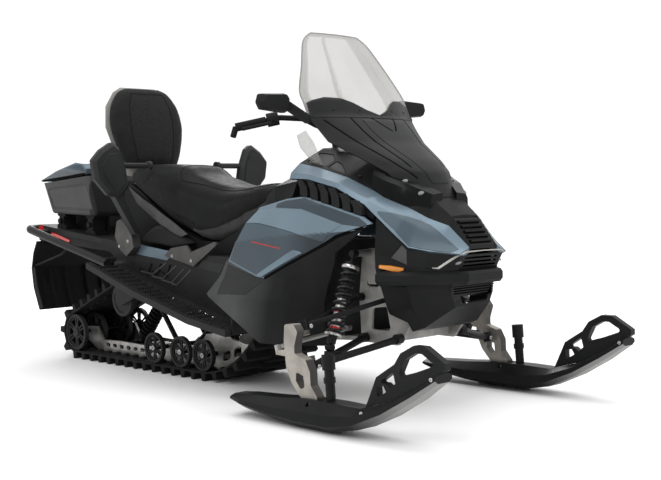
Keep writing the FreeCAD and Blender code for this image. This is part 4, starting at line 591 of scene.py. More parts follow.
def make_finishes():
    """Every finish, made once and named by its key."""
    c = bpy.context.scene.snowmobile_colours
    plastic, grey, pale, cover = tuple(c.plastic), tuple(c.grey), tuple(c.pale), tuple(c.cover)
    alloy, paint = tuple(c.alloy), tuple(c.paint)
    FINISHES.update(
        body_plastic=moulded(plastic, 0.36, 1200.0, 0.00008, 0.08),
        dull_plastic=moulded(scaled(plastic, 0.9), 0.55, 700.0, 0.0002, 0.10),
        grey_plastic=moulded(grey, 0.42, 1000.0, 0.0001, 0.12),
        pale_plastic=moulded(pale, 0.45, 1000.0, 0.0001, 0.12),
        smoke_panel=moulded(scaled(pale, 0.72), 0.34, 400.0, 0.00003, 0.06),
        side_plastic=moulded(plastic, 0.4, 900.0, 0.0001, 0.08, other=scaled(grey, 2.4),
                             vector=(-1.0, 0.0, 0.15), low=-0.46, high=-0.28),
        cowl_plastic=moulded(scaled(plastic, 0.85), 0.40, 1100.0, 0.00008, 0.06),
        fairing_plastic=moulded(scaled(grey, 0.62), 0.42, 900.0, 0.0001, 0.08),
        gloss_black=moulded(scaled(plastic, 0.5), 0.2, 300.0, 0.00002, 0.05, coat=0.08),
        groove_black=moulded(scaled(plastic, 0.35), 0.7, 600.0, 0.00005, 0.02, level=0.02),
        ski_plastic=moulded(scaled(plastic, 0.8), 0.36, 500.0, 0.00008, 0.12, dust=0.01,
                            under=(0.22, 0.22, 0.215)),
        belt_rubber=moulded((0.012, 0.012, 0.0125), 0.66, 420.0, 0.0004, 0.12, dust=0.05),
        wheel_plastic=moulded((0.022, 0.022, 0.022), 0.5, 500.0, 0.0002, 0.15),
        grip_rubber=moulded((0.009, 0.009, 0.0095), 0.7, 600.0, 0.0003, 0.06),
        powder_coat=moulded((0.011, 0.011, 0.012), 0.4, 1500.0, 0.0001, 0.12),
        tunnel_coat=moulded((0.019, 0.0192, 0.02), 0.42, 900.0, 0.00012, 0.14),
        rail_alloy=brushed(alloy, 0.36),
        cast_alloy=brushed(scaled(alloy, 0.8), 0.5, EVEN, 0.6),
        grey_cast=brushed((0.075, 0.073, 0.07), 0.5, EVEN, 0.35),
        # painted shade: the uprights' faces that look ahead take a near-black colour
        cast_upright=brushed(tuple(c.cast), 0.5, EVEN, 0.5, (0.05, 0.047, 0.044)),
        wear_steel=brushed((0.42, 0.42, 0.43), 0.3),
        spring_coat=moulded((0.013, 0.013, 0.014), 0.3, 900.0, 0.00004, 0.2, coat=0.3),
        red_coat=moulded((0.42, 0.012, 0.01), 0.3, 900.0, 0.00005, 0.15, coat=0.4),
        bolt_steel=brushed((0.62, 0.61, 0.6), 0.28, (3.0, 3.0, 3.0)),
        silver_trim=brushed((0.50, 0.48, 0.45), 0.3, (1.0, 20.0, 1.0)),
        body_paint=painted(paint),
        # shaded copies of the body paint: painted shade on the side bands, the lid, the side facets and the
        # blade flanks
        dark_paint=painted(scaled(paint, 0.30)),
        lid_paint=painted(scaled(paint, 0.62)),
        mid_paint=painted(scaled(paint, 0.48)),
        strap_cloth=grained_cover(scaled(pale, 0.9), 500.0),
        trunk_side=moulded(scaled(pale, 1.05), 0.45, 1000.0, 0.0001, 0.1, other=scaled(grey, 0.6),
                           vector=(1.0, 0.0, 0.0), low=-0.975, high=-0.968),
        engine_cast=moulded((0.03, 0.03, 0.031), 0.6, 300.0, 0.0005, 0.2),
        seat_cover=grained_cover(cover, other=scaled(pale, 0.95)),
        seat_band=grained_cover(scaled(pale, 0.2), 420.0, 0.46),
        seam_cord=grained_cover(scaled(cover, 0.7), 900.0, 0.6),
        backrest_mesh=mesh_cloth(cover),
        screen_sheet=clear_sheet(tuple(c.screen)),
        screen_rim=moulded((0.22, 0.215, 0.21), 0.3, 500.0, 0.00003, 0.05),
        mirror_glass=brushed((0.75, 0.77, 0.8), 0.1),
        display_glass=lens((0.012, 0.014, 0.018), 0.06, coat=0.5),
        lamp_black=lens((0.0075, 0.0078, 0.008), 0.16, coat=0.02, level=0.1),
        lamp_bright=lens((0.24, 0.245, 0.25), 0.12, coat=0.3),
        lamp_red=lens((0.55, 0.03, 0.022), 0.12, 0.12),
        # painted light: the side reflectors' orange also glows faintly, though a reflector is no lamp
        lamp_orange=lens((0.72, 0.25, 0.02), 0.2, 0.1),
        shell_taupe=moulded((0.34, 0.33, 0.315), 0.42, 900.0, 0.00008, 0.1),
    )
    for key, material in FINISHES.items():
        material.name = key.replace("_", " ")


FINISH_NODES = {
    "belt_rubber": "track",
    "wheel_plastic": "idler_wheels",
    "rail_alloy": "slide_rails tie_rods",
    "powder_coat": "drive_axle suspension_arms rear_shocks front_arms front_shocks column_bracket handlebar",
    "tunnel_coat": "tunnel running_boards rear_bumper",
    "engine_cast": "engine_block",
    "cast_alloy": "bulkhead",
    "body_plastic": "belly_pan nose_shell front_bumper side_vents ski_fittings_right ski_fittings_left",
    "gloss_black": "nose_grille",
    "body_paint": "side_panels hood_blades",
    "side_plastic": "lower_panels",
    "cowl_plastic": "hood_cowl",
    "lamp_black": "headlights",
    "screen_sheet": "windshield",
    "fairing_plastic": "windshield_fairing",
    "dull_plastic": "mirrors console bar_controls seat_base trunk_fittings snow_flap",
    "grey_plastic": "gauge hand_guards",
    "grip_rubber": "grips",
    "seat_cover": "seat backrest",
    "seat_band": "side_cushions",
    "shell_taupe": "backrest_shell",
    "grey_cast": "tunnel_brackets",
    "trunk_side": "trunk",
    # painted shade: the trunk lid takes a darker copy of the body paint
    "lid_paint": "trunk_lid",
    "lamp_red": "tail_lamps",
    "ski_plastic": "ski_right ski_left",
    "wear_steel": "ski_runner_right ski_runner_left",
    "cast_upright": "spindle_right spindle_left",
}


def dress(obj, finish, body=CHASSIS):
    """Gives a new piece its finish and its body."""
    obj.data.materials.clear()
    obj.data.materials.append(FINISHES[finish])
    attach(obj, body)


def piece(name, finish, *grids, twin=True, body=CHASSIS, slot=None, angle=38):
    """Closed grids, and with twin their mirrored ones, as one dressed mesh, sharp over the angle."""
    if twin:
        grids = [half for grid in grids for half in (grid, grid * MIRROR)]
    obj = closed_mesh(name, grids)
    obj.data.set_sharp_from_angle(angle=math.radians(angle))
    dress(obj, finish, body)


# Lift and reach of a domed head's rings, as shares of its height and radius, down into its socket
DOME_LIFT = np.array([0.75, 1.0, 1.0, 0.0, 0.0])
DOME_REACH = np.array([1.0, 1.0, 0.8, 0.5, 0.42, 0.0001])
DOME_ROOT = -0.25


def domes(name, centres, directions, radius, height=0.35, sides=12):
    """Low domed heads with a socket: rings r cos t, h sin t about each direction, all in one mesh."""
    centres = np.atleast_2d(centres)
    directions = np.broadcast_to(unit(directions), centres.shape)
    u, v = square_to(directions, np.where(np.abs(directions[:, 2:3]) < 0.9, TOP, FRONT))
    lift = radius * np.concatenate([[DOME_ROOT], height * DOME_LIFT])[:, None, None]
    reach = radius * DOME_REACH[:, None, None]
    grids = centres[:, None, None] + reach * circle(u, v, sides)[:, None] + lift * directions[:, None, None]
    obj = closed_mesh(name, grids, top=False)
    obj.data.set_sharp_from_angle(angle=math.radians(40))
    return obj


def crisp_group(angle):
    """Geometry group: copies merged, faces smooth, edges over the angle sharp."""
    tree = bpy.data.node_groups.new("crisp shading", "GeometryNodeTree")
    tree.interface.new_socket("Geometry", in_out="INPUT", socket_type="NodeSocketGeometry")
    tree.interface.new_socket("Geometry", in_out="OUTPUT", socket_type="NodeSocketGeometry")
    start, end = tree.nodes.new("NodeGroupInput"), tree.nodes.new("NodeGroupOutput")
    merge = tree.nodes.new("GeometryNodeMergeByDistance")
    merge.inputs["Distance"].default_value = 0.00002
    round_faces, sharp_edges = [tree.nodes.new("GeometryNodeSetShadeSmooth") for _ in range(2)]
    sharp_edges.domain = "EDGE"
    sharp_edges.inputs["Shade Smooth"].default_value = False
    fold = tree.nodes.new("GeometryNodeInputMeshEdgeAngle")
    over = tree.nodes.new("FunctionNodeCompare")
    over.data_type, over.operation = "FLOAT", "GREATER_THAN"
    over.inputs[1].default_value = math.radians(angle)
    links = tree.links
    links.new(start.outputs[0], merge.inputs["Geometry"])
    links.new(merge.outputs[0], round_faces.inputs["Geometry"])
    links.new(round_faces.outputs[0], sharp_edges.inputs["Geometry"])
    links.new(fold.outputs["Unsigned Angle"], over.inputs[0])
    links.new(over.outputs[0], sharp_edges.inputs["Selection"])
    links.new(sharp_edges.outputs[0], end.inputs[0])
    return tree


class SNOWMOBILE_OT_finishes(bpy.types.Operator):
    """Give every carried node its finish and its crisp shading"""
    bl_idname = "snowmobile.finishes"
    bl_label = "Finishes"

    def execute(self, context):
        make_finishes()
        group = crisp_group(context.scene.snowmobile_sizes.crisp)
        finish_of = {node: finish for finish, nodes in FINISH_NODES.items() for node in nodes.split()}
        for name, obj in NODES.items():
            for slot in obj.material_slots:
                slot.material = FINISHES[finish_of[name]]
            obj.modifiers.new("Crisp", "NODES").node_group = group
        return {"FINISHED"}


# Soft pieces

CLOTH_FRAMES = 20
CLOTH_PRESSURE = 4.0


def puffed(obj, voxel, cap):
    """Voxel remesh, cloth under pressure for 20 frames, and a capped move out of each point."""
    add_modifier(obj, "REMESH", mode="VOXEL", voxel_size=voxel, use_smooth_shade=True)
    apply_modifiers(obj)
    before = places(obj)
    cloth = obj.modifiers.new("Cloth", "CLOTH")
    cloth.settings.use_pressure = True
    cloth.settings.uniform_pressure_force = CLOTH_PRESSURE
    cloth.settings.effector_weights.gravity = 0.0
    cloth.settings.quality = 4
    scene = bpy.context.scene
    for step in range(1, CLOTH_FRAMES + 1):
        scene.frame_set(step)
    apply_modifiers(obj)
    move = places(obj) - before
    size = np.linalg.norm(move, axis=1, keepdims=True)
    move *= np.minimum(1.0, cap / np.maximum(size, 1e-9))
    obj.data.vertices.foreach_set("co", (before + move).ravel())
    scene.frame_set(1)
    add_modifier(obj, "SMOOTH", factor=0.5, iterations=3)
    apply_modifiers(obj)
    obj.data.polygons.foreach_set("use_smooth", np.full(len(obj.data.polygons), True))
    obj.data.update()


def set_band(obj, distance):
    """Stores the signed distance to a two-tone border, in metres, or a share of tone, on every point."""
    layer = obj.data.attributes.get("band") or obj.data.attributes.new("band", "FLOAT", "POINT")
    layer.data.foreach_set("value", np.ascontiguousarray(distance, dtype=np.float32))


# Place along the machine, half width, underside and top of the seat
SEAT_STATIONS = np.array([
    (-0.712, 0.150, 0.866, 0.922), (-0.640, 0.178, 0.832, 0.938), (-0.500, 0.186, 0.750, 0.936),
    (-0.370, 0.182, 0.672, 0.926), (-0.290, 0.176, 0.643, 0.890), (-0.180, 0.170, 0.608, 0.858),
    (-0.060, 0.160, 0.608, 0.832), (0.060, 0.146, 0.653, 0.830), (0.150, 0.118, 0.708, 0.840),
    (0.203, 0.092, 0.755, 0.836)])
SEAT_CORNER = 0.42
SEAT_TAPER = 0.10
SEAT_CROWN = 0.006


def seat_grid(rows=90, cols=56):
    """Section at each x: y = w c^k (1 - 0.1 d^3 in the upper half), z = m + h d^k, k = 0.42, a low crown."""
    s = smooth_rows(SEAT_STATIONS, rows)
    a = np.linspace(0, 2 * np.pi, cols, endpoint=False)[None, :]
    half, low, high = s[:, 1:2], s[:, 2:3], s[:, 3:4]
    middle, tall = (low + high) / 2, (high - low) / 2
    c, d = np.cos(a), np.sin(a)
    y = half * np.sign(c) * np.abs(c) ** SEAT_CORNER * (1 - SEAT_TAPER * (d > 0) * np.abs(d) ** 3)
    z = middle + tall * np.sign(d) * np.abs(d) ** SEAT_CORNER
    crown = (d > 0) * np.abs(d) * (1 - (y / half) ** 2) * SEAT_CROWN
    x = np.broadcast_to(s[:, 0:1], y.shape)
    return np.stack([x, y, z + crown], -1)


# Lower edge of the seat's side and the width of its paler band above that, at places along the machine
SEAT_LOW = np.array([(-0.705, 0.842), (-0.600, 0.790), (-0.440, 0.712), (-0.285, 0.650), (-0.180, 0.612),
                     (-0.060, 0.610), (0.060, 0.652), (0.150, 0.706), (0.203, 0.752)])
BAND_WIDTH = np.array([(-0.705, -0.030), (-0.300, -0.030), (-0.225, 0.036), (-0.060, 0.058), (0.100, 0.056),
                       (0.203, 0.036)])
STRAP_HIGH = space([(-721, -157, 847), (-602, -160, 790), (-500, -186, 762), (-442, -191, 736),
                    (-329, -188, 683), (-248, -180, 635)])
STRAP_LOW = space([(-659, -157, 772), (-550, -162, 716), (-450, -188, 684), (-367, -194, 646),
                   (-310, -190, 612)])


def seat_edge(x):
    """Height of the upper border of the seat's lower band at each x."""
    return np.interp(x, *SEAT_LOW.T) + np.interp(x, *BAND_WIDTH.T)


class SNOWMOBILE_OT_seat(bpy.types.Operator):
    """Two-level padded seat with a paler lower band, sewn seams and straps"""
    bl_idname = "snowmobile.seat"
    bl_label = "Seat"

    def execute(self, context):
        sizes = context.scene.snowmobile_sizes
        seat = closed_mesh("seat_pad", [seat_grid()])
        puffed(seat, sizes.voxel, sizes.puff)
        p = places(seat)
        set_band(seat, seat_edge(p[:, 0]) - p[:, 2])
        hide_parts("seat")
        dress(seat, "seat_cover")
        x = np.linspace(-0.245, 0.185, 50)
        edge = np.stack([x, 0 * x - 0.4, seat_edge(x)], -1)
        hip = smooth_rows(plan([(-372, 0), (-368, -70), (-352, -122), (-320, -150), (-270, -142),
                                (-200, -124), (-90, -112), (40, -100), (150, -70), (160, 0)]), 90)
        piece("seat_seams", "seam_cord", piping("seat_pad", edge, 0.0016, RIGHT),
              piping("seat_pad", hip, 0.0018, TOP), slot="seat_cover")
        strap = slab(None, STRAP_LOW, STRAP_HIGH, RIGHT, 0.0, sink=0.004, step=0.02)
        piece("seat_straps", "strap_cloth", strap, slot="seat_cover")
        return {"FINISHED"}


# Height, front face, half width and thickness of the backrest
BACKREST_STATIONS = np.array([
    (0.950, -0.760, 0.150, 0.040), (1.000, -0.768, 0.172, 0.050), (1.080, -0.782, 0.196, 0.055),
    (1.150, -0.794, 0.205, 0.056), (1.230, -0.808, 0.190, 0.052), (1.295, -0.822, 0.146, 0.042),
    (1.320, -0.828, 0.100, 0.028)])
BACKREST_HOLLOW = 0.35
BACKREST_REAR = 0.022
MESH_SHARE = 0.60
MESH_TOP = 1.292


def backrest_grid(rows=70, cols=60):
    """Section at each height: front x + t (1 - 0.35 (y/w)^2), flat back, corners by a power of 0.5."""
    s = smooth_rows(BACKREST_STATIONS, rows)
    a = np.linspace(0, 2 * np.pi, cols, endpoint=False)[None, :]
    z, x0, half, thick = s[:, 0:1], s[:, 1:2], s[:, 2:3], s[:, 3:4]
    c, d = np.cos(a), np.sin(a)
    y = half * np.sign(c) * np.abs(c) ** 0.5
    depth = np.sign(d) * np.abs(d) ** 0.5
    front_depth = depth * thick * (1 - BACKREST_HOLLOW * (y / half) ** 2)
    x = x0 + np.where(depth > 0, front_depth, depth * BACKREST_REAR)
    return np.stack([x, y, np.broadcast_to(z, y.shape)], -1)


class SNOWMOBILE_OT_backrest(bpy.types.Operator):
    """Passenger backrest pad with a mesh middle, a covered border and piping"""
    bl_idname = "snowmobile.backrest"
    bl_label = "Backrest"

    def execute(self, context):
        sizes = context.scene.snowmobile_sizes
        pad = closed_mesh("backrest_pad", [backrest_grid()])
        puffed(pad, sizes.voxel, 0.5 * sizes.puff)
        p = places(pad)
        s = BACKREST_STATIONS
        half = np.interp(p[:, 2], s[:, 0], s[:, 2])
        middle = np.interp(p[:, 2], s[:, 0], s[:, 1])
        set_band(pad, np.minimum.reduce([MESH_SHARE * half - np.abs(p[:, 1]), p[:, 0] - middle,
                                         MESH_TOP - p[:, 2]]))
        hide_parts("backrest")
        dress(pad, "backrest_mesh")
        z = np.linspace(0.955, MESH_TOP, 50)
        half = np.interp(z, s[:, 0], s[:, 2])
        upright = piping("backrest_pad", np.stack([0 * z, -MESH_SHARE * half, z], -1), 0.0016, FRONT)
        y = np.linspace(-1, 1, 20) * MESH_SHARE * half[-1]
        level = piping("backrest_pad", np.stack([0 * y, y, 0 * y + MESH_TOP], -1), 0.0016, FRONT)
        piece("backrest_seams", "seam_cord", upright, upright * MIRROR, level, twin=False, slot="seat_cover")
        return {"FINISHED"}


CUSHION_OUTLINE = np.array([(-0.566, 0.604), (-0.440, 0.672), (-0.320, 0.634), (-0.206, 0.596),
                            (-0.300, 0.578), (-0.430, 0.588)])
# Share of the outline and distance from the middle plane, from the inner face to the crown
CUSHION_LEVELS = np.array([(0.90, 0.154), (1.0, 0.162), (1.0, 0.196), (0.93, 0.205), (0.7, 0.210)])


class SNOWMOBILE_OT_side_cushions(bpy.types.Operator):
    """Padded pieces above the tunnel beside the passenger"""
    bl_idname = "snowmobile.side_cushions"
    bl_label = "Side cushions"

    def execute(self, context):
        edge = smooth_rows(CUSHION_OUTLINE, 40, loop=True)
        middle = edge.mean(axis=0)
        for name, sign in (("right", -1), ("left", 1)):
            grid = middle + (edge - middle)[None] * CUSHION_LEVELS[:, 0:1, None]
            y = np.broadcast_to(sign * CUSHION_LEVELS[:, 1][:, None], grid.shape[:2])
            grid = np.stack([grid[..., 0], y, grid[..., 1]], -1)
            pad = closed_mesh("side_cushion_" + name, [grid])
            add_modifier(pad, "SUBSURF", levels=2, render_levels=2)
            apply_modifiers(pad)
            dress(pad, "seat_band")
            if sign < 0:
                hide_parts("side_cushions")
        return {"FINISHED"}


# Screen

# Height, half width, front of the middle and sag of the sides
SCREEN_STATIONS = np.array([
    (1.1045, 0.288, 0.752, 0.098), (1.150, 0.288, 0.722, 0.090), (1.200, 0.286, 0.688, 0.080),
    (1.300, 0.236, 0.619, 0.052), (1.400, 0.182, 0.550, 0.030), (1.438, 0.130, 0.523, 0.016)])


def screen_grid(rows=60, cols=50):
    """Sheet x = xm - sag (y/w)^2 between smoothed stations."""
    s = smooth_rows(SCREEN_STATIONS, rows)
    v = np.linspace(-1, 1, cols)[None, :]
    z, half, x0, sag = s[:, 0:1], s[:, 1:2], s[:, 2:3], s[:, 3:4]
    y = half * v
    return np.stack([x0 - sag * v**2, y, np.broadcast_to(z, y.shape)], -1)


def screen_bands(rows, cols):
    """Tone: 0.85 exp(-((|v| - 0.5) / 0.03)^2) on the creases, 0.75 on the border, 0.55 beyond v = 0.22; on
    the creases and beyond v = 0.22 it is painted reflection.
    """
    u = np.broadcast_to(np.linspace(0, 1, rows)[:, None], (rows, cols))
    v = np.broadcast_to(np.linspace(-1, 1, cols)[None, :], (rows, cols))
    crease = 0.85 * np.exp(-((np.abs(v) - 0.50) / 0.03) ** 2)
    facet = 0.55 * np.clip((v - 0.22) / 0.04, 0, 1)
    border = 0.75 * np.clip((np.maximum(np.abs(v), u) - 0.88) / 0.02, 0, 1)
    return np.maximum.reduce([border, crease, facet]).ravel()


class SNOWMOBILE_OT_screen(bpy.types.Operator):
    """Clear windshield with its rim, paler bands, dark wings, screws and side deflectors"""
    bl_idname = "snowmobile.screen"
    bl_label = "Windshield"

    def execute(self, context):
        grid = screen_grid()
        sheet = mesh_object("screen", grid, grid_faces(*grid.shape[:2], closed=False))
        # the bands hold painted reflection on the creases and on the left part beyond v = 0.22, besides the
        # border
        set_band(sheet, screen_bands(*grid.shape[:2]))
        add_modifier(sheet, "SOLIDIFY", thickness=0.004, offset=0.0)
        apply_modifiers(sheet)
        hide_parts("windshield")
        dress(sheet, "screen_sheet")
        rim = np.concatenate([grid[:, 0], grid[-1, 1:-1], grid[::-1, -1]])
        piece("screen_rim", "screen_rim", tube_grid(rim, 0.0026), twin=False, slot="clear_sheet")
        wing_top = front([(-281, 1150), (-259, 1161), (-210, 1174), (-148, 1171), (-106, 1155), (-58, 1127),
                          (0, 1106)])
        wing = slab("screen windshield_fairing", front([(-286, 1094), (0, 1094)]), wing_top, FRONT, 0.002,
                    sink=0.007)
        piece("screen_wings", "fairing_plastic", wing, angle=50)
        foot = draped("hood_cowl", space([(655, -215, 900), (600, -215, 900)]), TOP) - [0, 0, 0.004]
        top = space([(588, -270, 985), (592, -290, 1030), (640, -290, 1046), (668, -275, 1000)])
        piece("side_deflectors", "screen_sheet", prism(np.concatenate([foot, top]), (0, 0.003, 0)),
              slot="clear_sheet")
        screws = grid[6, [8, 17, 32, 41]] + [0.003, 0, 0]
        dress(domes("screen_screws", screws, (1.0, 0.0, 0.6), 0.006), "body_plastic")
        return {"FINISHED"}


# Springs and small metal

DAMPER_LOW, DAMPER_HIGH = np.array([0.860, -0.392, 0.258]), np.array([0.860, -0.262, 0.588])
SPRING_LOW, SPRING_HIGH, SPRING_RADIUS, SPRING_TURNS = 0.15, 0.83, 0.0255, 9
CAP_RING = [(0, 0.012), (0, 0.031), (0.3, 0.033), (0.7, 0.033), (1, 0.030), (1, 0.012)]
BAND_RING = [(0, 0.018), (0, 0.0202), (1, 0.0202), (1, 0.018)]


def on_damper(share):
    return DAMPER_LOW + (DAMPER_HIGH - DAMPER_LOW) * share


def damper_ring(low, high, profile):
    return sleeve(on_damper(low), on_damper(high), profile)


class SNOWMOBILE_OT_springs(bpy.types.Operator):
    """Round wire springs, caps, shafts and bands of the front suspension"""
    bl_idname = "snowmobile.springs"
    bl_label = "Front suspension"

    def execute(self, context):
        coil = coil_grid(on_damper(SPRING_LOW), on_damper(SPRING_HIGH), SPRING_RADIUS, SPRING_TURNS,
                         context.scene.snowmobile_sizes.wire)
        piece("front_springs", "spring_coat", coil, slot="steel_black")
        piece("spring_caps", "bolt_steel", damper_ring(SPRING_HIGH, 0.87, CAP_RING),
              damper_ring(0.12, SPRING_LOW, CAP_RING))
        piece("damper_shafts", "rail_alloy",
              damper_ring(0.20, 0.84, [(0, 0.0185), (0.5, 0.0185), (0.51, 0.009), (1, 0.009)]))
        piece("damper_bands", "red_coat", damper_ring(0.155, 0.215, BAND_RING),
              damper_ring(0.36, 0.375, BAND_RING))
        centres = space([(904, -488, 205), (904, 488, 205), (866, -488, 345), (866, 488, 345)])
        dress(domes("joint_bolts", centres, FRONT, 0.008), "bolt_steel")
        return {"FINISHED"}


# Painted and moulded trim

NOSE_SIDE = (0.4, -0.917, 0)
BLADE_SIDE = (0.5, -0.6, 0.62)


def button(centre, axis, along_it, long, wide, height, sides=24):
    """Low oval button: rings long cos a, wide sin a about its axis, drawn in towards the top."""
    axis = unit(axis)
    u = unit(along_it - axis * (along_it @ axis))
    ring = circle(long * u, wide * np.cross(axis, u), sides)
    reach = np.array([1.0, 1.0, 0.86, 0.4])[:, None, None]
    lift = np.array([-0.6, 0.5, 0.9, 1.0])[:, None, None] * height
    return np.asarray(centre) + reach * ring[None] + lift * axis


def nose_plate(x, half_low, low, half_high, high, lean, depth):
    """Flat plate behind a grille, leaned back by lean at its top, in millimetres."""
    top = x + lean
    outline = [(x, -half_low, low), (x, half_low, low), (top, half_high, high), (top, -half_high, high)]
    return prism(space(outline), (depth / 1000, 0, 0))


class SNOWMOBILE_OT_hood_trim(bpy.types.Operator):
    """Windows, knobs, flanks in painted shade, fairing panel, silver line, lamps and reflectors of the hood
    and nose
    """
    bl_idname = "snowmobile.hood_trim"
    bl_label = "Hood trim"

    def execute(self, context):
        rear_window = slab("hood_cowl", plan([(581, -223), (673, -219)]),
                           plan([(581, -153), (639, -143.5), (673, -169.5)]), TOP, 0.0012)
        front_window = slab("hood_cowl", plan([(689, -218.5), (769, -214.5)]),
                            plan([(689, -173.5), (721, -179), (774, -211.5)]), TOP, 0.0012)
        piece("hood_windows", "smoke_panel", rear_window, front_window)
        knobs = draped("hood_cowl hood_blades", np.array([(0.830, -0.194, 1.0), (0.830, 0.194, 1.0)]), TOP)
        dress(domes("hood_knobs", knobs, TOP, 0.008, 0.6, 16), "gloss_black")

        crease = space([(980, -259, 744), (1020, -228, 737), (1062, -190, 723), (1099, -157, 707),
                        (1128, -142, 692), (1151, -137, 676), (1186, -129, 648), (1236, -119, 607)])
        lower = space([(981, -264, 736), (1010, -261, 711), (1047, -253, 679), (1078, -241, 640),
                       (1107, -240, 622), (1143, -220, 611), (1194, -183, 600), (1225, -150, 596)])
        # painted shade: the blade's side facet takes a half-shade copy of the body paint
        piece("blade_flanks", "mid_paint", slab("hood_blades", lower, crease, BLADE_SIDE, 0.0012, 0.002))

        near_edge = front([(-46, 838), (-62, 900), (-108, 1040), (-112, 1090)])
        panel = slab("windshield_fairing", near_edge, near_edge * MIRROR, FRONT, 0.004, rim=0.005)
        piece("fairing_panel", "fairing_plastic", panel, twin=False, angle=20)
        lines = ([(-250, 1085), (-190, 1000), (-130, 905), (-92, 858)],
                 [(-150, 1093), (-140, 1040), (-92, 900)], [(-60, 1094), (-30, 1060), (-8, 1042)])
        under = "windshield_fairing fairing_panel"
        piece("fairing_grooves", "groove_black",
              *[ribbon(under, front(line), 0.008, FRONT, 0.0008) for line in lines])

        slats = [nose_plate(1181 + (z - 432) * 0.3, 126, z, 126, z + 4, 0, 9) for z in range(440, 477, 9)]
        piece("nose_backs", "gloss_black", nose_plate(1168, 150, 530, 120, 606, 14, 3),
              nose_plate(1176, 132, 432, 128, 484, 16, 3), *slats, twin=False)

        path = [(-183, 543), (-166, 541), (-126, 588), (-100, 597.5), (0, 599)]
        path += [(-y, z) for y, z in path[-2::-1]]
        width = np.array([0.004, 0.009, 0.009, 0.006, 0.0045, 0.006, 0.009, 0.009, 0.004])[:, None]
        under = "nose_shell nose_grille hood_cowl hood_blades"
        line = ribbon(under, front(path), width, FRONT, 0.0016, step=0.008)
        piece("silver_line", "silver_trim", line, twin=False)

        piece("nose_facets_dark", "dull_plastic",
              slab("nose_shell hood_blades", space([(996, -279, 592), (1037, -260, 582)]),
                   space([(999, -270, 702), (1078, -241, 628)]), NOSE_SIDE, 0.0012))
        piece("nose_facets", "pale_plastic",
              slab("nose_shell", space([(1040, -258, 578), (1092, -232, 554)]),
                   space([(1078, -241, 624), (1095, -235, 607)]), NOSE_SIDE, 0.0016))
        piece("nose_grooves", "gloss_black",
              ribbon("nose_shell", space([(992, -280, 566), (1069, -243, 557), (1178, -165, 536)]), 0.004,
                     (0.45, -0.89, 0), 0.0006, step=0.02))
        low = space([(996, -277, 541), (1040, -257, 529), (1062, -246, 527), (1081, -236, 533)])
        high = space([(998, -276, 554), (1040, -257, 551), (1081, -236, 543)])
        # the reflectors' finish carries a faint painted glow
        piece("side_reflectors", "lamp_orange",
              slab("nose_shell", low, high, NOSE_SIDE, 0.006, sink=0.003, rim=0.003))

        spots = ((1.004, -0.139, 0.850, 0.007), (1.068, -0.125, 0.806, 0.007), (1.233, -0.119, 0.559, 0.0045))
        facing, along_it = (0.75, -0.45, 0.5), (-0.35, -0.85, -0.25)
        piece("lamp_lenses", "lamp_bright",
              *[button((x, y, z), facing, along_it, 0.012, wide, 0.004) for x, y, z, wide in spots])
        return {"FINISHED"}


class SNOWMOBILE_OT_side_trim(bpy.types.Operator):
    """Bands and facets in painted shade, ridge, trim line, underline and patches on the side panels"""
    bl_idname = "snowmobile.side_trim"
    bl_label = "Side trim"

    def execute(self, context):
        crease = side([(358, 697), (436, 697), (517, 684), (606, 669), (688, 651), (765, 632)])
        high = side([(398, 747), (500, 755), (640, 750), (800, 710), (859, 696)])
        crest = slab("side_panels", crease, high, RIGHT, 0.001, tilt=(0.017, 0.002))
        piece("side_crests", "body_paint", crest, angle=8)
        low = side([(262, 549), (430, 495), (470, 492), (660, 580), (752, 618)])
        facet = slab("side_panels", low, crease, RIGHT, (0.018, 0.003), tilt=(-0.017, -0.002))
        # painted shade: the middle facet takes a half-shade copy of the body paint
        piece("side_facets", "mid_paint", facet, angle=8)
        # painted shade: the band along the panel's upper edge takes the deepest shaded copy of the body paint
        band = slab("side_panels", side([(500, 757), (640, 752), (859, 697), (950, 690), (970, 690)]),
                    side([(500, 772), (545, 784), (638, 793), (930, 721), (975, 700)]), RIGHT, 0.0015)
        piece("side_bands", "dark_paint", band)
        piece("side_ridges", "body_paint",
              slab("side_facets", side([(457, 490), (669, 588)]), side([(423, 497), (623, 599), (655, 595)]),
                   RIGHT, 0.001, tilt=0.005))
        path = side([(992, 694), (833, 652), (691, 588), (470, 486)])
        piece("side_edges", "groove_black", ribbon("side_panels lower_panels", path, 0.012, RIGHT, 0.002))
        path = side([(401, 626), (562, 603)])
        piece("side_underlines", "red_coat", ribbon("side_facets", path, 0.005, RIGHT, 0.0008))
        piece("side_patches", "grey_plastic",
              slab("lower_panels", side([(221, 414), (385, 419), (455, 470)]),
                   side([(221, 455), (252, 533), (446, 484)]), RIGHT, 0.0015))
        return {"FINISHED"}


TUNNEL_TOP_LINE = np.array([(-1.440, 0.664), (-0.300, 0.548), (0.418, 0.548)])
BOARD_LINE = np.array([(-0.690, 0.492), (-0.345, 0.388), (0.054, 0.295), (0.300, 0.262)])
TOOTH_PITCH, TOOTH_HEIGHT, TOOTH_HALF, TOOTH_ROOT = 0.008, 0.0065, 0.0015, 0.003


def tooth_row(y):
    """Thin upright strip along the board whose top edge steps between 1 and 6.5 mm every 8 mm."""
    x = np.arange(-0.66, 0.27, TOOTH_PITCH)
    base = draped("running_boards", np.stack([x, 0 * x + y, 0 * x + 1], -1), TOP)
    high = np.where(np.arange(len(x)) % 2 == 0, TOOTH_HEIGHT, 0.001)
    across = np.array([-TOOTH_HALF, -TOOTH_HALF, TOOTH_HALF, TOOTH_HALF])
    grid = base[:, None] + np.stack([0 * across, across, 0 * across], -1)[None]
    grid[..., 2] += np.where([False, True, True, False], high[:, None], -TOOTH_ROOT)
    return grid


def studs(name, finish, names, points, radius):
    """Domed heads on the right side of the nodes and their twins on the left."""
    met = draped(names, points, RIGHT)
    facings = np.repeat([RIGHT, LEFT], len(met), axis=0)
    dress(domes(name, np.concatenate([met, met * MIRROR]), facings, radius), finish)


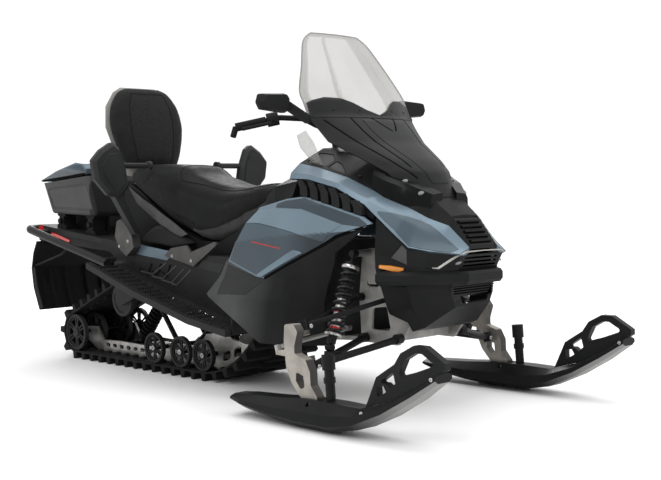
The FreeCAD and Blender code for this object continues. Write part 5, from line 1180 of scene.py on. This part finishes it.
class SNOWMOBILE_OT_tunnel_trim(bpy.types.Operator):
    """Strips, marks, bolts and rivets on the tunnel, and the teeth of the running boards"""
    bl_idname = "snowmobile.tunnel_trim"
    bl_label = "Tunnel trim"

    def execute(self, context):
        low, high = side([(-610, 542), (-345, 517)]), side([(-565, 584), (-287, 557)])
        piece("tunnel_stripes", "body_paint", slab("tunnel", low, high, RIGHT, 0.0015))
        backs = [(-620, 405), (-285, 395), (-285, 520), (-620, 545)]
        piece("tunnel_backs", "dull_plastic", prism(side(backs, -0.2155), (0, 0.003, 0)))
        marks = ([(-545, 462), (-458, 451), (-353, 506)], [(-462, 443), (-382, 434), (-280, 496)],
                 [(-386, 429), (-316, 419), (-222, 485)], [(-312, 415), (-276, 412), (-172, 483)])
        piece("tunnel_marks", "pale_plastic",
              *[ribbon("tunnel", side(path), 0.008, RIGHT, 0.002, step=0.02) for path in marks])
        x = np.array([-1.390, -0.860])
        low = np.stack([x, 0 * x - 0.3, np.interp(x, *TUNNEL_TOP_LINE.T) - 0.026], -1)
        piece("tunnel_plates", "grey_plastic",
              slab("tunnel", side([(-123, 493), (30, 474)]), side([(-92, 529), (60, 517)]), RIGHT, 0.0015),
              slab("tunnel", low, low + [0, 0, 0.022], RIGHT, 0.0015))

        spots = side([(-291, 540), (-155, 523), (-585, 600), (-655, 575)], -0.5)
        studs("tunnel_bolts", "bolt_steel", "tunnel tunnel_brackets hand_guards", spots,
              context.scene.snowmobile_sizes.bolt)
        x = np.arange(-0.66, 0.29, 0.055)
        rivets = np.stack([x, 0 * x - 0.5, np.interp(x, *BOARD_LINE.T) + 0.030], -1)
        studs("tunnel_rivets", "tunnel_coat", "tunnel", rivets, 0.0045)
        piece("board_teeth", "tunnel_coat", *[tooth_row(y) for y in np.arange(-0.410, -0.260, 0.0125)])
        return {"FINISHED"}


class SNOWMOBILE_OT_rear_trim(bpy.types.Operator):
    """Trunk fields and rails, the lid's lower strips, guard pads, and the flap's backing and studs"""
    bl_idname = "snowmobile.rear_trim"
    bl_label = "Rear trim"

    def execute(self, context):
        low, high = side([(-1292, 755), (-948, 743)]), side([(-1345, 838), (-997, 859)])
        piece("trunk_fields", "pale_plastic", slab("trunk", low, high, RIGHT, 0.0015))
        low, high = side([(-1402, 881), (-996, 912)]), side([(-1402, 890), (-996, 921)])
        strip = slab("trunk_lid", low, high, RIGHT, 0.0012)
        piece("lid_strips", "groove_black", strip, body="trunk_lid_body")
        piece("guard_pads", "grey_plastic",
              slab("hand_guards", front([(-440, 886), (-385, 818), (-344, 862)]),
                   front([(-466, 940), (-430, 992), (-385, 999), (-354, 945)]), FRONT, 0.004, rim=0.004))
        rails = [(-1310, 648), (-980, 613), (-980, 714), (-1310, 714)]
        piece("trunk_rails", "dull_plastic", prism(side(rails, -0.106), (0, 0.01, 0)))
        flap = [(-1461, 378), (-1455, 340), (-1427, 280), (-1423, 280), (-1451, 340), (-1457, 378)]
        piece("flap_back", "dull_plastic", prism(side(flap, -0.222), (0, 0.444, 0)), twin=False)
        y = np.array([-0.20, -0.125, -0.05, 0.05, 0.125, 0.20])
        heads = draped("snow_flap", np.stack([0 * y - 1.7, y, 0 * y + 0.457], -1), REAR)
        dress(domes("flap_studs", heads, REAR, 0.008), "bolt_steel")
        return {"FINISHED"}


class SNOWMOBILE_OT_wheel_trim(bpy.types.Operator):
    """Bolts of the wheels and skis, the mirrors' glass and the gauge's face"""
    bl_idname = "snowmobile.wheel_trim"
    bl_label = "Bolts and glass"

    def execute(self, context):
        wheels = side([(-498.5, 110.5), (-299.6, 110.5), (-137.2, 110.5)], -0.5)
        studs("wheel_bolts", "bolt_steel", "idler_wheels slide_rails", wheels, 0.011)
        piece("mirror_faces", "mirror_glass",
              slab("mirrors", space([(400, -438, 1133), (400, -340, 1130)]),
                   space([(400, -438, 1170), (400, -340, 1175)]), REAR, 0.001))
        low, high = space([(400, -78, 992), (400, 78, 992)]), space([(400, -78, 1075), (400, 78, 1075)])
        piece("gauge_face", "display_glass", slab("gauge", low, high, REAR, 0.001), twin=False)
        for name, sign in (("right", -1), ("left", 1)):
            spots = np.array([(1.496, -0.700, 0.235), (1.215, -0.700, 0.096)]) * [1.0, -sign, 1.0]
            ways = (0, sign, 0), (0, -sign, 0)
            heads = np.concatenate([draped(f"ski_{name} ski_fittings_{name}", spots, way) for way in ways])
            bolts = domes("ski_bolts_" + name, heads, np.repeat(ways, 2, axis=0), 0.007)
            dress(bolts, "bolt_steel", f"ski_{name}_body")
        return {"FINISHED"}


# Stage

FLOOR_HALF = 14.0
# Name, place, width in metres and power in watts of each lamp
LAMPS = (("key", (1.5, -4.5, 4.5), 3.5, 170.0), ("top", (0.0, 0.5, 5.0), 5.0, 120.0),
         ("rim", (-4.0, 3.0, 2.5), 2.5, 90.0), ("front", (5.0, 1.0, 2.5), 2.5, 60.0))
LAMP_AIM = Vector((0.0, 0.0, 0.5))
SENSOR_WIDTH = 36.0
FOCAL_PIXELS, PICTURE_PIXELS = 1135.9, 661.0
CAMERA_PLACE = (3.7653, -3.2199, 0.8319)
CAMERA_YAW, CAMERA_PITCH, CAMERA_ROLL = math.radians(45.66), math.radians(2.66), math.radians(-0.87)


def soft_world(name, toward, low, high):
    """Sky that brightens from low to high along one fixed direction."""
    world = bpy.data.worlds.new(name)
    world.use_nodes = True
    tree = world.node_tree
    place = tree.nodes.new("ShaderNodeTexCoord").outputs["Generated"]
    reach = tree.nodes.new("ShaderNodeVectorMath")
    reach.operation = "DOT_PRODUCT"
    reach.inputs[1].default_value = toward
    shade = tree.nodes.new("ShaderNodeMapRange")
    for socket, value in zip(("From Min", "From Max", "To Min", "To Max"), (-0.6, 0.5, low, high)):
        shade.inputs[socket].default_value = value
    tree.links.new(place, reach.inputs[0])
    tree.links.new(reach.outputs["Value"], shade.inputs["Value"])
    tree.links.new(shade.outputs[0], tree.nodes["Background"].inputs[1])
    tree.nodes["Background"].inputs[0].default_value = (1.0, 1.0, 1.0, 1.0)
    return world


def camera_turn(yaw, pitch, roll):
    """Turn of a camera that looks along the yaw, down by the pitch, rolled about that line."""
    ahead = Vector((-math.sin(yaw) * math.cos(pitch), math.cos(yaw) * math.cos(pitch), -math.sin(pitch)))
    level = Vector((math.cos(yaw), math.sin(yaw), 0.0))
    over = level.cross(ahead)
    right = level * math.cos(roll) + over * math.sin(roll)
    up = -level * math.sin(roll) + over * math.cos(roll)
    return Matrix((right, up, -ahead)).transposed()


class SNOWMOBILE_OT_stage(bpy.types.Operator):
    """Pale floor that glows softly far out, soft studio light and the camera"""
    bl_idname = "snowmobile.stage"
    bl_label = "Stage"

    def execute(self, context):
        scene = context.scene
        corners = FLOOR_HALF * np.array([(-1, -1, 0), (1, -1, 0), (1, 1, 0), (-1, 1, 0)])
        floor = mesh_object("floor", corners, [(0, 1, 2, 3)], smooth=False)
        g = Graph("studio floor")
        g.colour(g.mix(g.noise(1.5, 2.0), (0.88, 0.88, 0.88), (0.92, 0.92, 0.92)))
        g.set(rough=0.7, level=0.1)
        reach = g.node("ShaderNodeVectorMath", operation="LENGTH")
        g.link(g.place, reach.inputs[0])
        g.link(g.ramp(reach.outputs["Value"], 2.2, 6.5, 0.0, 0.5), g.shader.inputs["Emission Strength"])
        floor.data.materials.append(g.material)
        scene.world = soft_world("studio", (-0.72, 0.69, 0.10), 0.42, 1.06)
        for name, place, width, power in LAMPS:
            light = bpy.data.lights.new(name, "AREA")
            light.energy = power
            light.shape = "SQUARE"
            light.size = width
            lamp = bpy.data.objects.new(name, light)
            lamp.location = place
            lamp.rotation_euler = (LAMP_AIM - Vector(place)).to_track_quat("-Z", "Y").to_euler()
            scene.collection.objects.link(lamp)
        camera = bpy.data.cameras.new("camera")
        camera.lens = SENSOR_WIDTH * FOCAL_PIXELS / PICTURE_PIXELS
        camera.sensor_width = SENSOR_WIDTH
        eye = bpy.data.objects.new("camera", camera)
        turn = camera_turn(CAMERA_YAW, CAMERA_PITCH, CAMERA_ROLL)
        eye.matrix_world = Matrix.Translation(CAMERA_PLACE) @ turn.to_4x4()
        scene.collection.objects.link(eye)
        scene.camera = eye
        scene.view_settings.view_transform = "Standard"
        return {"FINISHED"}


class SNOWMOBILE_PT_panel(bpy.types.Panel):
    """Sidebar list of the snowmobile's pieces"""
    bl_label = "Snowmobile"
    bl_idname = "SNOWMOBILE_PT_panel"
    bl_space_type = "VIEW_3D"
    bl_region_type = "UI"
    bl_category = "Snowmobile"

    def draw(self, context):
        layout = self.layout
        for group in (context.scene.snowmobile_colours, context.scene.snowmobile_sizes):
            for name in group.__annotations__:
                layout.prop(group, name)
        for operator in OPERATORS:
            layout.operator(operator.bl_idname)


OPERATORS = (
    SNOWMOBILE_OT_stage,
    SNOWMOBILE_OT_finishes,
    SNOWMOBILE_OT_seat,
    SNOWMOBILE_OT_backrest,
    SNOWMOBILE_OT_side_cushions,
    SNOWMOBILE_OT_screen,
    SNOWMOBILE_OT_springs,
    SNOWMOBILE_OT_hood_trim,
    SNOWMOBILE_OT_side_trim,
    SNOWMOBILE_OT_tunnel_trim,
    SNOWMOBILE_OT_rear_trim,
    SNOWMOBILE_OT_wheel_trim,
)
CLASSES = (SnowmobileColours, SnowmobileSizes) + OPERATORS + (SNOWMOBILE_PT_panel,)


def register():
    for cls in CLASSES:
        bpy.utils.register_class(cls)
    bpy.types.Scene.snowmobile_colours = bpy.props.PointerProperty(type=SnowmobileColours)
    bpy.types.Scene.snowmobile_sizes = bpy.props.PointerProperty(type=SnowmobileSizes)


def unregister():
    del bpy.types.Scene.snowmobile_sizes
    del bpy.types.Scene.snowmobile_colours
    for cls in reversed(CLASSES):
        bpy.utils.unregister_class(cls)


def main():
    register()
    for operator in OPERATORS:
        group, name = operator.bl_idname.split(".")
        getattr(getattr(bpy.ops, group), name)()


if __name__ == "__main__":
    main()
